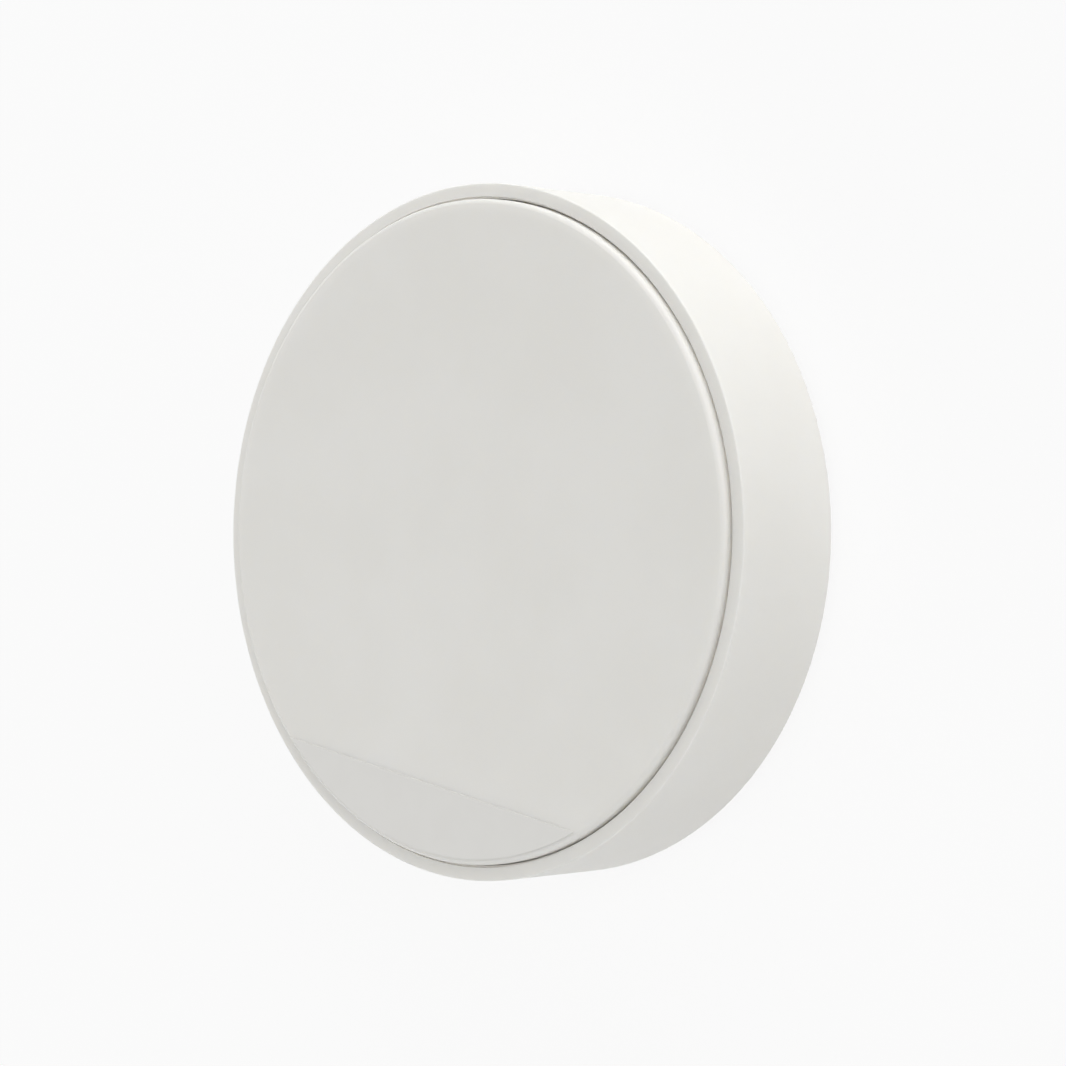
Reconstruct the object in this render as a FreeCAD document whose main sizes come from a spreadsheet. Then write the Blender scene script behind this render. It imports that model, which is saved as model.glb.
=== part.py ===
"""Round water leak sensor that lies on the floor on three metal probes.

Millimetres, +Z up, origin on the floor under the centre of the case.
"""
import FreeCAD, Part
import math
import os

import Sketcher
from FreeCAD import Placement, Rotation, Vector

# Driving sizes of the case
CASE_SIZES = [
    ("rear_radius", "35.0", "outside radius of the case at its back rim"),
    ("side_taper", "0.33", "how much the side wall draws in towards the front"),
    ("side_wall", "2.6", "side wall at the back rim"),
    ("rear_lip", "1.7", "side wall outside the rear opening"),
    ("ring_width", "1.32", "front ring, from the side wall to the recess"),
    ("foot_gap", "0.9", "height of the back rim over the floor"),
    ("ring_edge_round", "0.15", "rounding of the front ring's outer edge"),
    ("rear_edge_round", "0.4", "rounding of the back rim's outer edge"),
    ("recess_depth", "2.0", "front ring face to the bulkhead"),
    ("bulkhead_thickness", "1.2", "wall under the front cover"),
    ("component_space", "2.0", "room between the bulkhead and the board"),
    ("board_thickness", "1.0", "circuit board"),
    ("board_room", "0.4", "room between the coin cell and the board"),
    ("board_edge_gap", "0.5", "board edge to the side wall"),
    ("rabbet_depth", "2.5", "depth of the rear opening that takes the base plate"),
    ("seat_gap", "0.05", "clearance where one fixed piece lands on another"),
    ("boss_inset", "4.2", "centre of a screw boss from the side wall's inside"),
    ("boss_radius", "2.4", "screw boss below the board"),
    ("boss_shoulder_radius", "3.6", "screw boss above the board, which carries it"),
    ("pilot_radius", "1.05", "pilot hole for a case screw"),
    ("pilot_roof", "0.6", "plastic left over a pilot hole, under the bulkhead's top"),
    ("gusset_width", "1.2", "rib that ties a boss to the side wall"),
    ("rest_width", "6.0", "width of a board rest on the side wall"),
    ("rest_reach", "1.8", "how far a board rest stands in from the side wall"),
]

# Driving sizes of the front cover, which is the button
COVER_SIZES = [
    ("cover_gap", "0.3", "open groove round the front cover"),
    ("groove_depth", "0.45", "depth of that groove, from the ring face to its ledge"),
    ("guide_gap", "0.12", "sliding fit of the cover below the ledge"),
    ("cover_proud", "0.9", "how far the cover stands out of the front ring"),
    ("cover_thickness", "1.6", "wall of the cover"),
    ("cover_edge_round", "0.5", "rounding of the cover's front edge"),
    ("crown_width", "1.3", "band at the cover's edge that falls away a little"),
    ("crown_drop", "0.085", "how far that band falls"),
    ("cover_skirt_width", "1.4", "wall of the cover's skirt"),
    ("press_travel", "0.3", "stroke of the front cover"),
    ("stop_gap", "0.05", "play of the cover at either end of its stroke"),
    ("lug_count", "6", "retaining lugs on the cover's skirt"),
    ("lug_reach", "0.55", "how far a lug stands out of the skirt"),
    ("lug_height", "0.6", "height of a lug"),
    ("lug_ramp", "0.3", "height of a lug's lead-in ramp"),
    ("lug_root", "0.5", "depth of a lug's root in the skirt"),
    ("lug_span", "9.0", "angle that a lug covers, in degrees"),
    ("lug_side_play", "0.6", "angle free on either side of a lug, in degrees"),
    ("lug_pocket_gap", "0.25", "radial gap between a lug and its pocket"),
    ("cover_rib_height", "0.5", "height of the ribs under the cover"),
    ("cover_rib_width", "0.9", "width of the ribs under the cover"),
    ("cover_rib_count", "6", "radial ribs under the cover"),
    ("cover_hoop_radius", "18.0", "inner radius of the round rib under the cover"),
    ("pip_radius", "2.6", "pip under the cover that works the switch"),
    ("pip_height", "0.4", "height of that pip"),
    ("film_inset", "0.6", "clear film, from the cover's edge"),
    ("film_depth", "6.85", "clear film, from its straight edge to its round one"),
    ("film_thickness", "0.1", "clear film on the cover"),
]

# Driving sizes of the switch and the membrane over it
SWITCH_SIZES = [
    ("membrane_radius", "8.6", "outside radius of the rubber membrane"),
    ("membrane_web", "0.45", "thickness of the membrane"),
    ("membrane_edge_gap", "0.1", "gap round the membrane's edge"),
    ("bulkhead_hole_radius", "7.0", "hole in the bulkhead under the membrane"),
    ("membrane_pad_radius", "2.4", "top of the membrane's pad"),
    ("membrane_pad_foot", "3.2", "foot of the membrane's pad"),
    ("membrane_stem_radius", "1.4", "stem under the membrane"),
    ("roll_circle", "5.2", "middle of the membrane's soft roll"),
    ("roll_height", "0.4", "height of the roll"),
    ("roll_foot_half", "0.95", "half of the roll's foot"),
    ("roll_crest_half", "0.5", "half of the roll's crest"),
    ("roll_hollow", "0.3", "how much narrower the roll is underneath"),
    ("switch_side", "5.2", "side of the switch's square body"),
    ("switch_height", "1.0", "height of the switch's body"),
    ("switch_plunger_proud", "0.5", "plunger above the switch's body"),
    ("switch_bore_radius", "1.3", "hole in the switch's top"),
    ("switch_lid", "0.15", "wall over the plunger's flange"),
    ("switch_chamber_radius", "1.85", "chamber that the plunger's flange moves in"),
    ("plunger_radius", "1.15", "plunger's shaft"),
    ("plunger_flange_radius", "1.6", "plunger's flange"),
    ("plunger_flange_height", "0.25", "thickness of the plunger's flange"),
    ("plunger_play", "0.05", "play over and under the plunger's flange"),
    ("led_place", "4.9", "centre of the indicator lamp from the centre of the board"),
    ("led_length", "1.6", "indicator lamp"),
    ("led_width", "0.8", "indicator lamp"),
    ("led_height", "0.6", "indicator lamp"),
    ("led_lens_radius", "0.35", "lens of the indicator lamp"),
]

# Driving sizes of the base plate, the battery door and its thread
BASE_SIZES = [
    ("base_inset", "0.2", "base plate's face above the back rim"),
    ("base_fit", "0.1", "radial gap round the base plate"),
    ("base_thickness", "1.6", "floor of the base plate"),
    ("base_edge_chamfer", "0.3", "bevel round the base plate"),
    ("gasket_width", "0.75", "section of the case gasket"),
    ("collar_wall", "1.1", "collar outside the battery door's flange"),
    ("collar_top_gap", "1.2", "top of the collar to the board"),
    ("door_bore_gap", "0.3", "radial gap between the door's skirt and the collar"),
    ("flange_margin", "0.8", "battery door's flange outside the seal's land"),
    ("door_flange_height", "1.2", "battery door's flange"),
    ("door_floor", "1.6", "floor of the battery door"),
    ("holder_skirt_gap", "0.3", "battery holder to the inside of the door's skirt"),
    ("door_skirt_wall", "1.2", "wall of the door's skirt"),
    ("door_skirt_height", "3.8", "skirt above the door's floor"),
    ("door_edge_round", "0.3", "rounding of the door's outer edge"),
    ("seal_section", "1.1", "thickness of the door's seal ring"),
    ("seal_gap", "0.15", "gap round the seal ring's section"),
    ("door_lead", "12.0", "rise of the door's thread in one full turn"),
    ("door_turn", "90.0", "turn from closed to free, in degrees"),
    ("thread_starts", "3", "thread lugs on the door"),
    ("thread_span", "30.0", "angle that a thread lug covers, in degrees"),
    ("thread_height", "1.0", "height of a thread lug"),
    ("thread_reach", "0.9", "how far a thread lug stands out of the skirt"),
    ("thread_gap", "0.3", "gap between a thread lug and its groove"),
    ("thread_end_play", "2.0", "angle free at the ends of a groove, in degrees"),
    ("thread_rise", "1.7", "foot of a closed thread lug above the door's floor"),
    ("coin_radius", "14.0", "radius of the coin slot's rounded floor"),
    ("coin_slot_width", "1.9", "width of the coin slot"),
    ("coin_slot_depth", "1.0", "depth of the coin slot in the middle"),
    ("mark_radius", "0.7", "round marks that show the closed position"),
    ("mark_depth", "0.3", "depth of those marks"),
    ("mark_inset", "1.9", "mark on the door, from the flange's edge"),
    ("mark_step", "4.3", "mark on the base plate, outwards from the one on the door"),
    ("tower_radius", "3.6", "tower of the base plate round a screw boss"),
    ("tower_floor", "1.2", "plastic under a case screw's boss"),
    ("tower_gap", "0.3", "gap between a tower's bore and the boss in it"),
    ("screw_head_radius", "1.9", "case screw's head"),
    ("screw_head_height", "1.3", "case screw's head"),
    ("screw_crown_inset", "0.5", "bevelled crown of a screw's head, inwards"),
    ("screw_crown_height", "0.4", "bevelled crown of a screw's head, upwards"),
    ("screw_head_gap", "0.4", "radial gap round a case screw's head"),
    ("screw_radius", "1.0", "case screw's shank"),
    ("screw_hole_gap", "0.25", "radial gap round a case screw's shank"),
    ("screw_length", "6.2", "case screw's shank below the head"),
    ("screw_recess_width", "0.6", "bar of the cross recess in a screw's head"),
    ("screw_recess_length", "2.2", "length of the cross recess"),
    ("screw_recess_depth", "0.7", "depth of the cross recess"),
    ("rib_width", "1.0", "rib from the collar to a tower"),
    ("rib_height", "1.6", "rib from the collar to a tower"),
]

# Driving sizes of the probes
PROBE_SIZES = [
    ("probe_offset", "4.9", "centre of a probe from the collar"),
    ("probe_head_radius", "2.5", "probe's head"),
    ("probe_head_height", "1.4", "probe's head"),
    ("probe_head_round", "0.35", "rounding of the probe's tip"),
    ("probe_flat_width", "4.4", "width of the head over its two spanner flats"),
    ("probe_flat_height", "0.8", "height of the spanner flats"),
    ("probe_shank_radius", "1.25", "probe's shank"),
    ("probe_shank_gap", "0.1", "radial gap round a probe's shank"),
    ("probe_pad_radius", "3.4", "boss on the base plate round a probe"),
    ("probe_pad_height", "0.7", "height of that boss"),
    ("probe_pocket_gap", "0.3", "radial gap round a probe's head"),
    ("probe_seal_thickness", "0.5", "seal washer of a probe"),
    ("probe_seal_width", "0.7", "seal washer of a probe"),
    ("probe_seal_bevel", "0.1", "bevelled edges of that washer"),
    ("probe_end_gap", "1.0", "end of a probe's shank to the board"),
    ("spacer_flats", "4.5", "brass spacer over its flats"),
    ("spacer_gap", "0.05", "radial gap between a shank and its spacer"),
]

# Driving sizes of the battery and the parts on the board
BOARD_SIZES = [
    ("cell_radius", "12.25", "coin cell"),
    ("cell_height", "5.0", "coin cell"),
    ("cell_cap_radius", "10.5", "raised cap of the coin cell"),
    ("cell_cap_height", "0.3", "raised cap of the coin cell"),
    ("cell_edge_bevel", "0.3", "turned-in edge of the coin cell"),
    ("cell_gap", "0.1", "door's floor to the coin cell"),
    ("holder_gap", "0.2", "radial gap between the cell and its holder"),
    ("holder_wall", "1.05", "wall of the battery holder"),
    ("holder_drop", "4.6", "battery holder below the board"),
    ("holder_lead_in", "0.5", "bevel that guides the coin cell into its holder"),
    ("holder_ear_radius", "1.8", "fixing ear of the battery holder"),
    ("holder_ear_height", "0.9", "fixing ear of the battery holder"),
    ("holder_ear_offset", "1.1", "centre of a fixing ear from the holder's wall"),
    ("holder_peg_radius", "0.7", "peg of the battery holder"),
    ("holder_peg_height", "0.9", "peg of the battery holder"),
    ("peg_hole_gap", "0.05", "radial gap round a peg"),
    ("contact_strip", "0.25", "thickness of the contact strips"),
    ("contact_side_gap", "0.05", "side contact to the coin cell"),
    ("side_contact_width", "4.4", "side contact"),
    ("side_contact_drop", "4.2", "side contact below the board"),
    ("side_contact_foot", "4.0", "soldered foot of the side contact"),
    ("contact_window_gap", "0.3", "gap on either side of the side contact"),
    ("spring_width", "4.0", "top contact"),
    ("spring_half_length", "8.0", "top contact"),
    ("spring_bend_start", "5.0", "where the top contact leaves the board"),
    ("spring_bend_end", "2.2", "where the top contact meets the cell"),
    ("spring_cell_gap", "0.05", "top contact to the coin cell"),
    ("module_offset", "0.6", "radio module from the collar"),
    ("module_length", "8.0", "radio module, along the radius"),
    ("module_width", "12.0", "radio module, across"),
    ("module_thickness", "0.8", "radio module's own board"),
    ("shield_margin", "0.7", "radio module's edge to its shield"),
    ("shield_height", "1.6", "metal shield"),
    ("shield_wall", "0.2", "sheet of the metal shield"),
    ("antenna_inset", "2.7", "centre of the chip antenna from the board's edge"),
    ("antenna_length", "7.0", "chip antenna"),
    ("antenna_width", "2.0", "chip antenna"),
    ("antenna_height", "1.1", "chip antenna"),
    ("capacitor_offset", "6.4", "centre of the capacitor from the collar"),
    ("capacitor_radius", "2.5", "capacitor's can"),
    ("capacitor_height", "4.4", "capacitor with its base"),
    ("capacitor_base_side", "5.3", "capacitor's square base"),
    ("capacitor_base_height", "0.8", "capacitor's square base"),
]

# Levels above the floor and sizes that follow from the driving ones
WORKED_OUT = [
    ("front_radius", "=rear_radius - side_taper", "outside of the front ring"),
    ("inner_radius", "=rear_radius - side_wall", "inside of the side wall"),
    ("rabbet_radius", "=rear_radius - rear_lip", "rear opening"),
    ("recess_radius", "=front_radius - ring_width", "recess in the front ring"),
    ("boss_circle", "=inner_radius - boss_inset", "circle of screw bosses"),
    ("board_radius", "=inner_radius - board_edge_gap", "circuit board"),
    ("base_under", "=foot_gap + base_inset", "base plate"),
    ("base_top", "=base_under + base_thickness", "base plate"),
    ("door_floor_top", "=base_under + door_floor", "door"),
    ("cell_foot", "=door_floor_top + cell_gap", "coin cell"),
    ("cell_top", "=cell_foot + cell_height", "coin cell"),
    ("board_under", "=cell_top + board_room", "circuit board"),
    ("board_top", "=board_under + board_thickness", "circuit board"),
    ("bulkhead_under", "=board_top + component_space", "bulkhead"),
    ("bulkhead_top", "=bulkhead_under + bulkhead_thickness", "bulkhead"),
    ("ring_level", "=bulkhead_top + recess_depth", "front ring face"),
    ("shoulder_level", "=foot_gap + rabbet_depth", "ledge that takes the gasket"),
    ("cover_radius", "=recess_radius - cover_gap", "front cover"),
    ("groove_ledge", "=ring_level - groove_depth", "ledge in the front ring"),
    ("guide_radius", "=cover_radius + guide_gap", "front ring below the ledge"),
    ("cover_top", "=ring_level + cover_proud", "front cover"),
    ("crown_radius", "=cover_radius - crown_width", "front cover"),
    ("crown_edge", "=cover_top - crown_drop", "front cover"),
    ("crown_arc", "=(crown_width ^ 2 + crown_drop ^ 2) / (2 * crown_drop)", "front cover"),
    ("cover_under", "=cover_top - cover_thickness", "front cover"),
    ("skirt_inner_radius", "=cover_radius - cover_skirt_width", "cover's skirt"),
    ("skirt_foot", "=bulkhead_top + press_travel + stop_gap", "cover's skirt"),
    ("lug_root_radius", "=cover_radius - lug_root", "cover's lugs"),
    ("lug_radius", "=cover_radius + lug_reach", "cover's lugs"),
    ("lug_ramp_top", "=skirt_foot + lug_ramp", "cover's lugs"),
    ("lug_top", "=skirt_foot + lug_height", "cover's lugs"),
    ("lug_pocket_radius", "=lug_radius + lug_pocket_gap", "pockets in the front ring"),
    ("lug_pocket_roof", "=lug_top + stop_gap", "pockets in the front ring"),
    ("lug_pocket_span", "=lug_span + 2 * lug_side_play", "pockets in the front ring"),
    ("cover_hoop_outer", "=cover_hoop_radius + cover_rib_width", "round rib"),
    ("cover_rib_half", "=cover_rib_width / 2", "radial ribs"),
    ("cover_rib_foot", "=cover_under - cover_rib_height", "ribs under the cover"),
    ("cover_rib_start", "=membrane_radius", "radial ribs"),
    ("pip_foot", "=cover_under - pip_height", "pip under the cover"),
    ("film_radius", "=cover_radius - film_inset", "clear film on the flat"),
    ("film_chord", "=film_radius - film_depth", "clear film on the flat"),
    ("membrane_seat_radius", "=membrane_radius + membrane_edge_gap", "seat"),
    ("membrane_top", "=bulkhead_top - seat_gap", "membrane"),
    ("membrane_seat", "=membrane_top - membrane_web", "seat in the bulkhead"),
    ("membrane_pad_top", "=pip_foot - seat_gap", "membrane"),
    ("membrane_stem_foot", "=plunger_top + seat_gap", "membrane"),
    ("roll_top", "=membrane_top + roll_height", "membrane's roll"),
    ("roll_under", "=membrane_seat + roll_height", "membrane's roll"),
    ("roll_foot_inner", "=roll_circle - roll_foot_half", "membrane's roll"),
    ("roll_foot_outer", "=roll_circle + roll_foot_half", "membrane's roll"),
    ("roll_crest_inner", "=roll_circle - roll_crest_half", "membrane's roll"),
    ("roll_crest_outer", "=roll_circle + roll_crest_half", "membrane's roll"),
    ("hollow_foot_inner", "=roll_foot_inner + roll_hollow", "membrane's roll"),
    ("hollow_foot_outer", "=roll_foot_outer - roll_hollow", "membrane's roll"),
    ("hollow_crest_inner", "=roll_crest_inner + roll_hollow", "membrane's roll"),
    ("hollow_crest_outer", "=roll_crest_outer - roll_hollow", "membrane's roll"),
    ("switch_half", "=switch_side / 2", "switch"),
    ("switch_top", "=board_top + switch_height", "switch"),
    ("chamber_roof", "=switch_top - switch_lid", "switch"),
    ("plunger_flange_top", "=chamber_roof - plunger_play", "plunger"),
    ("plunger_foot", "=plunger_flange_top - plunger_flange_height", "plunger"),
    ("plunger_top", "=switch_top + switch_plunger_proud", "plunger"),
    ("chamber_floor", "=plunger_foot - press_travel - plunger_play", "switch"),
    ("rest_inner_radius", "=inner_radius - rest_reach", "board rests"),
    ("rest_half", "=rest_width / 2", "board rests"),
    ("gusset_half", "=gusset_width / 2", "gussets"),
    ("base_radius", "=rabbet_radius - base_fit", "base plate"),
    ("gasket_inner_radius", "=base_radius - gasket_width", "case gasket"),
    ("gasket_height", "=shoulder_level - base_top - 2 * seat_gap", "case gasket"),
    ("gasket_foot", "=base_top + seat_gap", "case gasket"),
    ("holder_inner", "=cell_radius + holder_gap", "battery holder"),
    ("holder_outer", "=holder_inner + holder_wall", "battery holder"),
    ("holder_foot", "=board_under - holder_drop", "battery holder"),
    ("holder_lead_top", "=holder_foot + holder_lead_in", "battery holder"),
    ("holder_lead_radius", "=holder_inner + holder_lead_in", "battery holder"),
    ("holder_ear_foot", "=board_under - holder_ear_height", "battery holder"),
    ("holder_ear_circle", "=holder_outer + holder_ear_offset", "battery holder"),
    ("door_skirt_inner", "=holder_outer + holder_skirt_gap", "door"),
    ("door_skirt_radius", "=door_skirt_inner + door_skirt_wall", "door"),
    ("door_bore_radius", "=door_skirt_radius + door_bore_gap", "collar"),
    ("collar_top", "=board_under - collar_top_gap", "collar"),
    ("flange_top", "=base_under + door_flange_height", "door"),
    ("flange_seat", "=flange_top + seat_gap", "door recess"),
    ("door_skirt_top", "=door_floor_top + door_skirt_height", "door"),
    ("seal_radius", "=seal_section / 2", "seal ring"),
    ("seal_circle", "=door_skirt_radius + seal_gap + seal_radius", "seal ring"),
    ("seal_level", "=flange_top + seal_gap + seal_radius", "seal ring"),
    ("land_radius", "=seal_circle + seal_radius + seal_gap", "seal land"),
    ("land_top", "=seal_level + seal_radius + seal_gap", "seal land"),
    ("door_flange_radius", "=land_radius + flange_margin", "door"),
    ("flange_recess_radius", "=door_flange_radius + door_bore_gap", "door recess"),
    ("collar_radius", "=flange_recess_radius + collar_wall", "collar"),
    ("mark_circle", "=door_flange_radius - mark_inset", "mark on the door"),
    ("thread_foot", "=door_floor_top + thread_rise", "door's thread"),
    ("thread_crest", "=thread_foot + thread_height", "door's thread"),
    ("thread_root_radius", "=door_skirt_radius - door_skirt_wall / 2", "door's thread"),
    ("thread_radius", "=door_skirt_radius + thread_reach", "door's thread"),
    ("thread_lift", "=door_lead * thread_span / 360", "door's thread"),
    ("groove_radius", "=thread_radius + thread_gap", "grooves in the collar"),
    ("groove_inner_radius", "=door_bore_radius - thread_gap", "grooves in the collar"),
    ("groove_back", "=door_turn + thread_end_play", "grooves, in degrees"),
    ("groove_span", "=groove_back + thread_span + thread_end_play", "grooves, in degrees"),
    ("groove_lift", "=door_lead * groove_span / 360", "grooves in the collar"),
    ("groove_foot", "=thread_foot - thread_gap - door_lead * groove_back / 360", "grooves"),
    ("groove_crest", "=groove_foot + thread_height + 2 * thread_gap", "grooves"),
    ("coin_drop", "=coin_radius - coin_slot_depth - base_under", "coin slot's centre"),
    ("base_mark_circle", "=mark_circle + mark_step", "mark on the base plate"),
    ("tower_bore_radius", "=boss_radius + tower_gap", "towers"),
    ("tower_top", "=board_under - seat_gap", "towers"),
    ("screw_head_under", "=base_under + seat_gap", "case screws"),
    ("screw_seat", "=screw_head_under + screw_head_height", "case screws"),
    ("screw_face_radius", "=screw_head_radius - screw_crown_inset", "case screws"),
    ("screw_crown_top", "=screw_head_under + screw_crown_height", "case screws"),
    ("screw_tip", "=screw_seat + screw_length", "case screws"),
    ("screw_pocket_roof", "=screw_seat + seat_gap", "towers"),
    ("tower_seat", "=screw_pocket_roof + tower_floor", "towers"),
    ("boss_foot", "=tower_seat + seat_gap", "screw bosses"),
    ("pilot_top", "=bulkhead_top - pilot_roof", "screw bosses"),
    ("screw_pocket_radius", "=screw_head_radius + screw_head_gap", "towers"),
    ("screw_hole_radius", "=screw_radius + screw_hole_gap", "towers"),
    ("screw_bar_half", "=screw_recess_width / 2", "case screws"),
    ("screw_bar_reach", "=screw_recess_length / 2", "case screws"),
    ("rib_half", "=rib_width / 2", "base plate's ribs"),
    ("probe_circle", "=collar_radius + probe_offset", "circle of probes"),
    ("probe_flat_half", "=probe_flat_width / 2", "probes"),
    ("probe_pocket_radius", "=probe_head_radius + probe_pocket_gap", "probe pockets"),
    ("probe_seal_foot", "=probe_head_height + seat_gap", "probe seals"),
    ("probe_seal_top", "=probe_seal_foot + probe_seal_thickness", "probe seals"),
    ("probe_seal_inner", "=probe_shank_radius + seat_gap", "probe seals"),
    ("probe_seal_outer", "=probe_seal_inner + probe_seal_width", "probe seals"),
    ("probe_seat", "=probe_seal_top + seat_gap", "probe pockets"),
    ("probe_hole_radius", "=probe_shank_radius + probe_shank_gap", "probe pockets"),
    ("probe_pad_top", "=base_top + probe_pad_height", "probe pads"),
    ("probe_tip", "=board_under - probe_end_gap", "end of a probe's shank"),
    ("spacer_foot", "=probe_pad_top + seat_gap", "brass spacers"),
    ("spacer_height", "=board_under - spacer_foot", "brass spacers"),
    ("spacer_bore_radius", "=probe_shank_radius + spacer_gap", "brass spacers"),
    ("spacer_corner", "=spacer_flats / sqrt(3)", "brass spacers"),
    ("cell_can_top", "=cell_top - cell_cap_height", "coin cell"),
    ("holder_window_half", "=side_contact_width / 2 + contact_window_gap", "holder"),
    ("peg_hole_radius", "=holder_peg_radius + peg_hole_gap", "board"),
    ("side_contact_inner", "=cell_radius + contact_side_gap", "side contact"),
    ("side_contact_outer", "=side_contact_inner + contact_strip", "side contact"),
    ("side_contact_end", "=side_contact_inner + side_contact_foot", "side contact"),
    ("side_contact_low", "=board_under - side_contact_drop", "side contact"),
    ("contact_foot_level", "=board_under - contact_strip", "contacts"),
    ("spring_low", "=cell_top + spring_cell_gap", "top contact"),
    ("spring_low_top", "=spring_low + contact_strip", "top contact"),
    ("module_under", "=board_under - module_thickness", "radio module"),
    ("shield_under", "=module_under - shield_height", "metal shield"),
    ("module_inner", "=collar_radius + module_offset", "radio module"),
    ("module_outer", "=module_inner + module_length", "radio module"),
    ("module_half", "=module_width / 2", "radio module"),
    ("shield_inner", "=module_inner + shield_margin", "metal shield"),
    ("shield_outer", "=module_outer - shield_margin", "metal shield"),
    ("shield_half", "=module_half - shield_margin", "metal shield"),
    ("shield_room_inner", "=shield_inner + shield_wall", "metal shield"),
    ("shield_room_outer", "=shield_outer - shield_wall", "metal shield"),
    ("shield_room_half", "=shield_half - shield_wall", "metal shield"),
    ("shield_room_height", "=shield_height - shield_wall", "metal shield"),
    ("shield_room_under", "=shield_under + shield_wall", "metal shield"),
    ("antenna_place", "=board_radius - antenna_inset", "chip antenna"),
    ("antenna_inner", "=antenna_place - antenna_width / 2", "chip antenna"),
    ("antenna_outer", "=antenna_place + antenna_width / 2", "chip antenna"),
    ("antenna_half", "=antenna_length / 2", "chip antenna"),
    ("capacitor_foot", "=board_under - capacitor_height", "capacitor"),
    ("capacitor_base_foot", "=board_under - capacitor_base_height", "capacitor"),
    ("capacitor_base_half", "=capacitor_base_side / 2", "capacitor"),
    ("capacitor_place", "=collar_radius + capacitor_offset", "capacitor"),
    ("capacitor_base_inner", "=capacitor_place - capacitor_base_half", "capacitor"),
    ("capacitor_base_outer", "=capacitor_place + capacitor_base_half", "capacitor"),
    ("led_half", "=led_width / 2", "indicator lamp"),
    ("led_inner", "=led_place - led_length / 2", "indicator lamp"),
    ("led_outer", "=led_place + led_length / 2", "indicator lamp"),
]

# Screws, board rests and probes stand in threes, pegs and spanner flats in twos
THREEFOLD = "3"
TWOFOLD = "2"
PROBE_ANGLES = (90, 210, 330)
MATCH = 0.001

doc = FreeCAD.newDocument("leak_sensor")
sizes = doc.addObject("Spreadsheet::Sheet", "Sizes")
pieces = []


def fill_sheet():
    """Write every size into the sheet under its own alias."""
    rows = CASE_SIZES + COVER_SIZES + SWITCH_SIZES + BASE_SIZES
    rows = rows + PROBE_SIZES + BOARD_SIZES + WORKED_OUT
    for row, (alias, amount, words) in enumerate(rows, start=1):
        sizes.set("A%d" % row, words)
        sizes.set("B%d" % row, amount)
        sizes.setAlias("B%d" % row, alias)
    doc.recompute()


def size(text):
    """Number behind an alias, negative when the alias has a minus before it."""
    if text == "0":
        return 0.0
    sign = -1.0 if text.startswith("-") else 1.0
    return sign * float(sizes.get(text.lstrip("-")))


def bind(item, prop, text):
    """Tie a property to a size in the sheet."""
    item.setExpression(prop, "Sizes." + text)


def plane_of(body, role):
    """Origin plane of a body."""
    return next(item for item in body.Origin.OriginFeatures if item.Role == role)


def new_body(name):
    """Body that becomes a piece of the sensor."""
    body = doc.addObject("PartDesign::Body", name)
    body.Label = name
    pieces.append(body)
    return body


def new_sketch(body, name, role, level=None):
    """Sketch on an origin plane, raised to a level where one is given."""
    sketch = body.newObject("Sketcher::SketchObject", body.Name + "_" + name)
    sketch.AttachmentSupport = (plane_of(body, role), [""])
    sketch.MapMode = "FlatFace"
    if level:
        bind(sketch, "AttachmentOffset.Base.z", level)
    return sketch


def pin_point(sketch, geometry, end, across, up):
    """Hold a point of the sketch at two sizes from its origin."""
    for kind, text, axis in (("DistanceX", across, -2), ("DistanceY", up, -1)):
        if text == "0":
            sketch.addConstraint(Sketcher.Constraint("PointOnObject", geometry, end, axis))
            continue
        if text.startswith("-"):
            hold = Sketcher.Constraint(kind, geometry, end, -1, 1, -size(text))
        else:
            hold = Sketcher.Constraint(kind, -1, 1, geometry, end, size(text))
        place = sketch.addConstraint(hold)
        bind(sketch, "Constraints[%d]" % place, text.lstrip("-"))


def arc_between(start, finish, radius):
    """Arc from start to finish that turns to the left, under half a circle."""
    half = (finish - start) / 2
    reach = math.sqrt(radius ** 2 - half.Length ** 2)
    centre = start + half + Vector(-half.y, half.x, 0).normalize() * reach
    whole = Part.Circle(centre, Vector(0, 0, 1), radius)
    return Part.ArcOfCircle(whole, whole.parameter(start), whole.parameter(finish))


def draw_outline(sketch, corners):
    """Closed outline through pairs of aliases, a third one for an arc that starts there."""
    points = [Vector(size(corner[0]), size(corner[1]), 0) for corner in corners]
    lines = []
    for place, start in enumerate(points):
        finish = points[(place + 1) % len(points)]
        if len(corners[place]) == 3:
            stretch = arc_between(start, finish, size(corners[place][2]))
        else:
            stretch = Part.LineSegment(start, finish)
        lines.append(sketch.addGeometry(stretch, False))
    for place, line in enumerate(lines):
        follower = lines[(place + 1) % len(lines)]
        sketch.addConstraint(Sketcher.Constraint("Coincident", line, 2, follower, 1))
    for line, corner in zip(lines, corners):
        pin_point(sketch, line, 1, corner[0], corner[1])
        if len(corner) == 3:
            hold = Sketcher.Constraint("Radius", line, size(corner[2]))
            place = sketch.addConstraint(hold)
            bind(sketch, "Constraints[%d]" % place, corner[2])


def draw_circle(sketch, across, up, radius):
    """Circle whose centre and radius are aliases."""
    centre = Vector(size(across), size(up), 0)
    ring = sketch.addGeometry(Part.Circle(centre, Vector(0, 0, 1), size(radius)), False)
    pin_point(sketch, ring, 3, across, up)
    place = sketch.addConstraint(Sketcher.Constraint("Radius", ring, size(radius)))
    bind(sketch, "Constraints[%d]" % place, radius)


def draw_box(sketch, low, high, half):
    """Rectangle from low to high across, and half to either side."""
    half_down = "-" + half
    draw_outline(sketch, [(low, half_down), (high, half_down), (high, half), (low, half)])


def add_feature(body, kind, name, sketch):
    """Sketch based feature of a body."""
    feature = body.newObject("PartDesign::" + kind, body.Name + "_" + name)
    feature.Profile = sketch
    sketch.Visibility = False
    return feature


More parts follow.
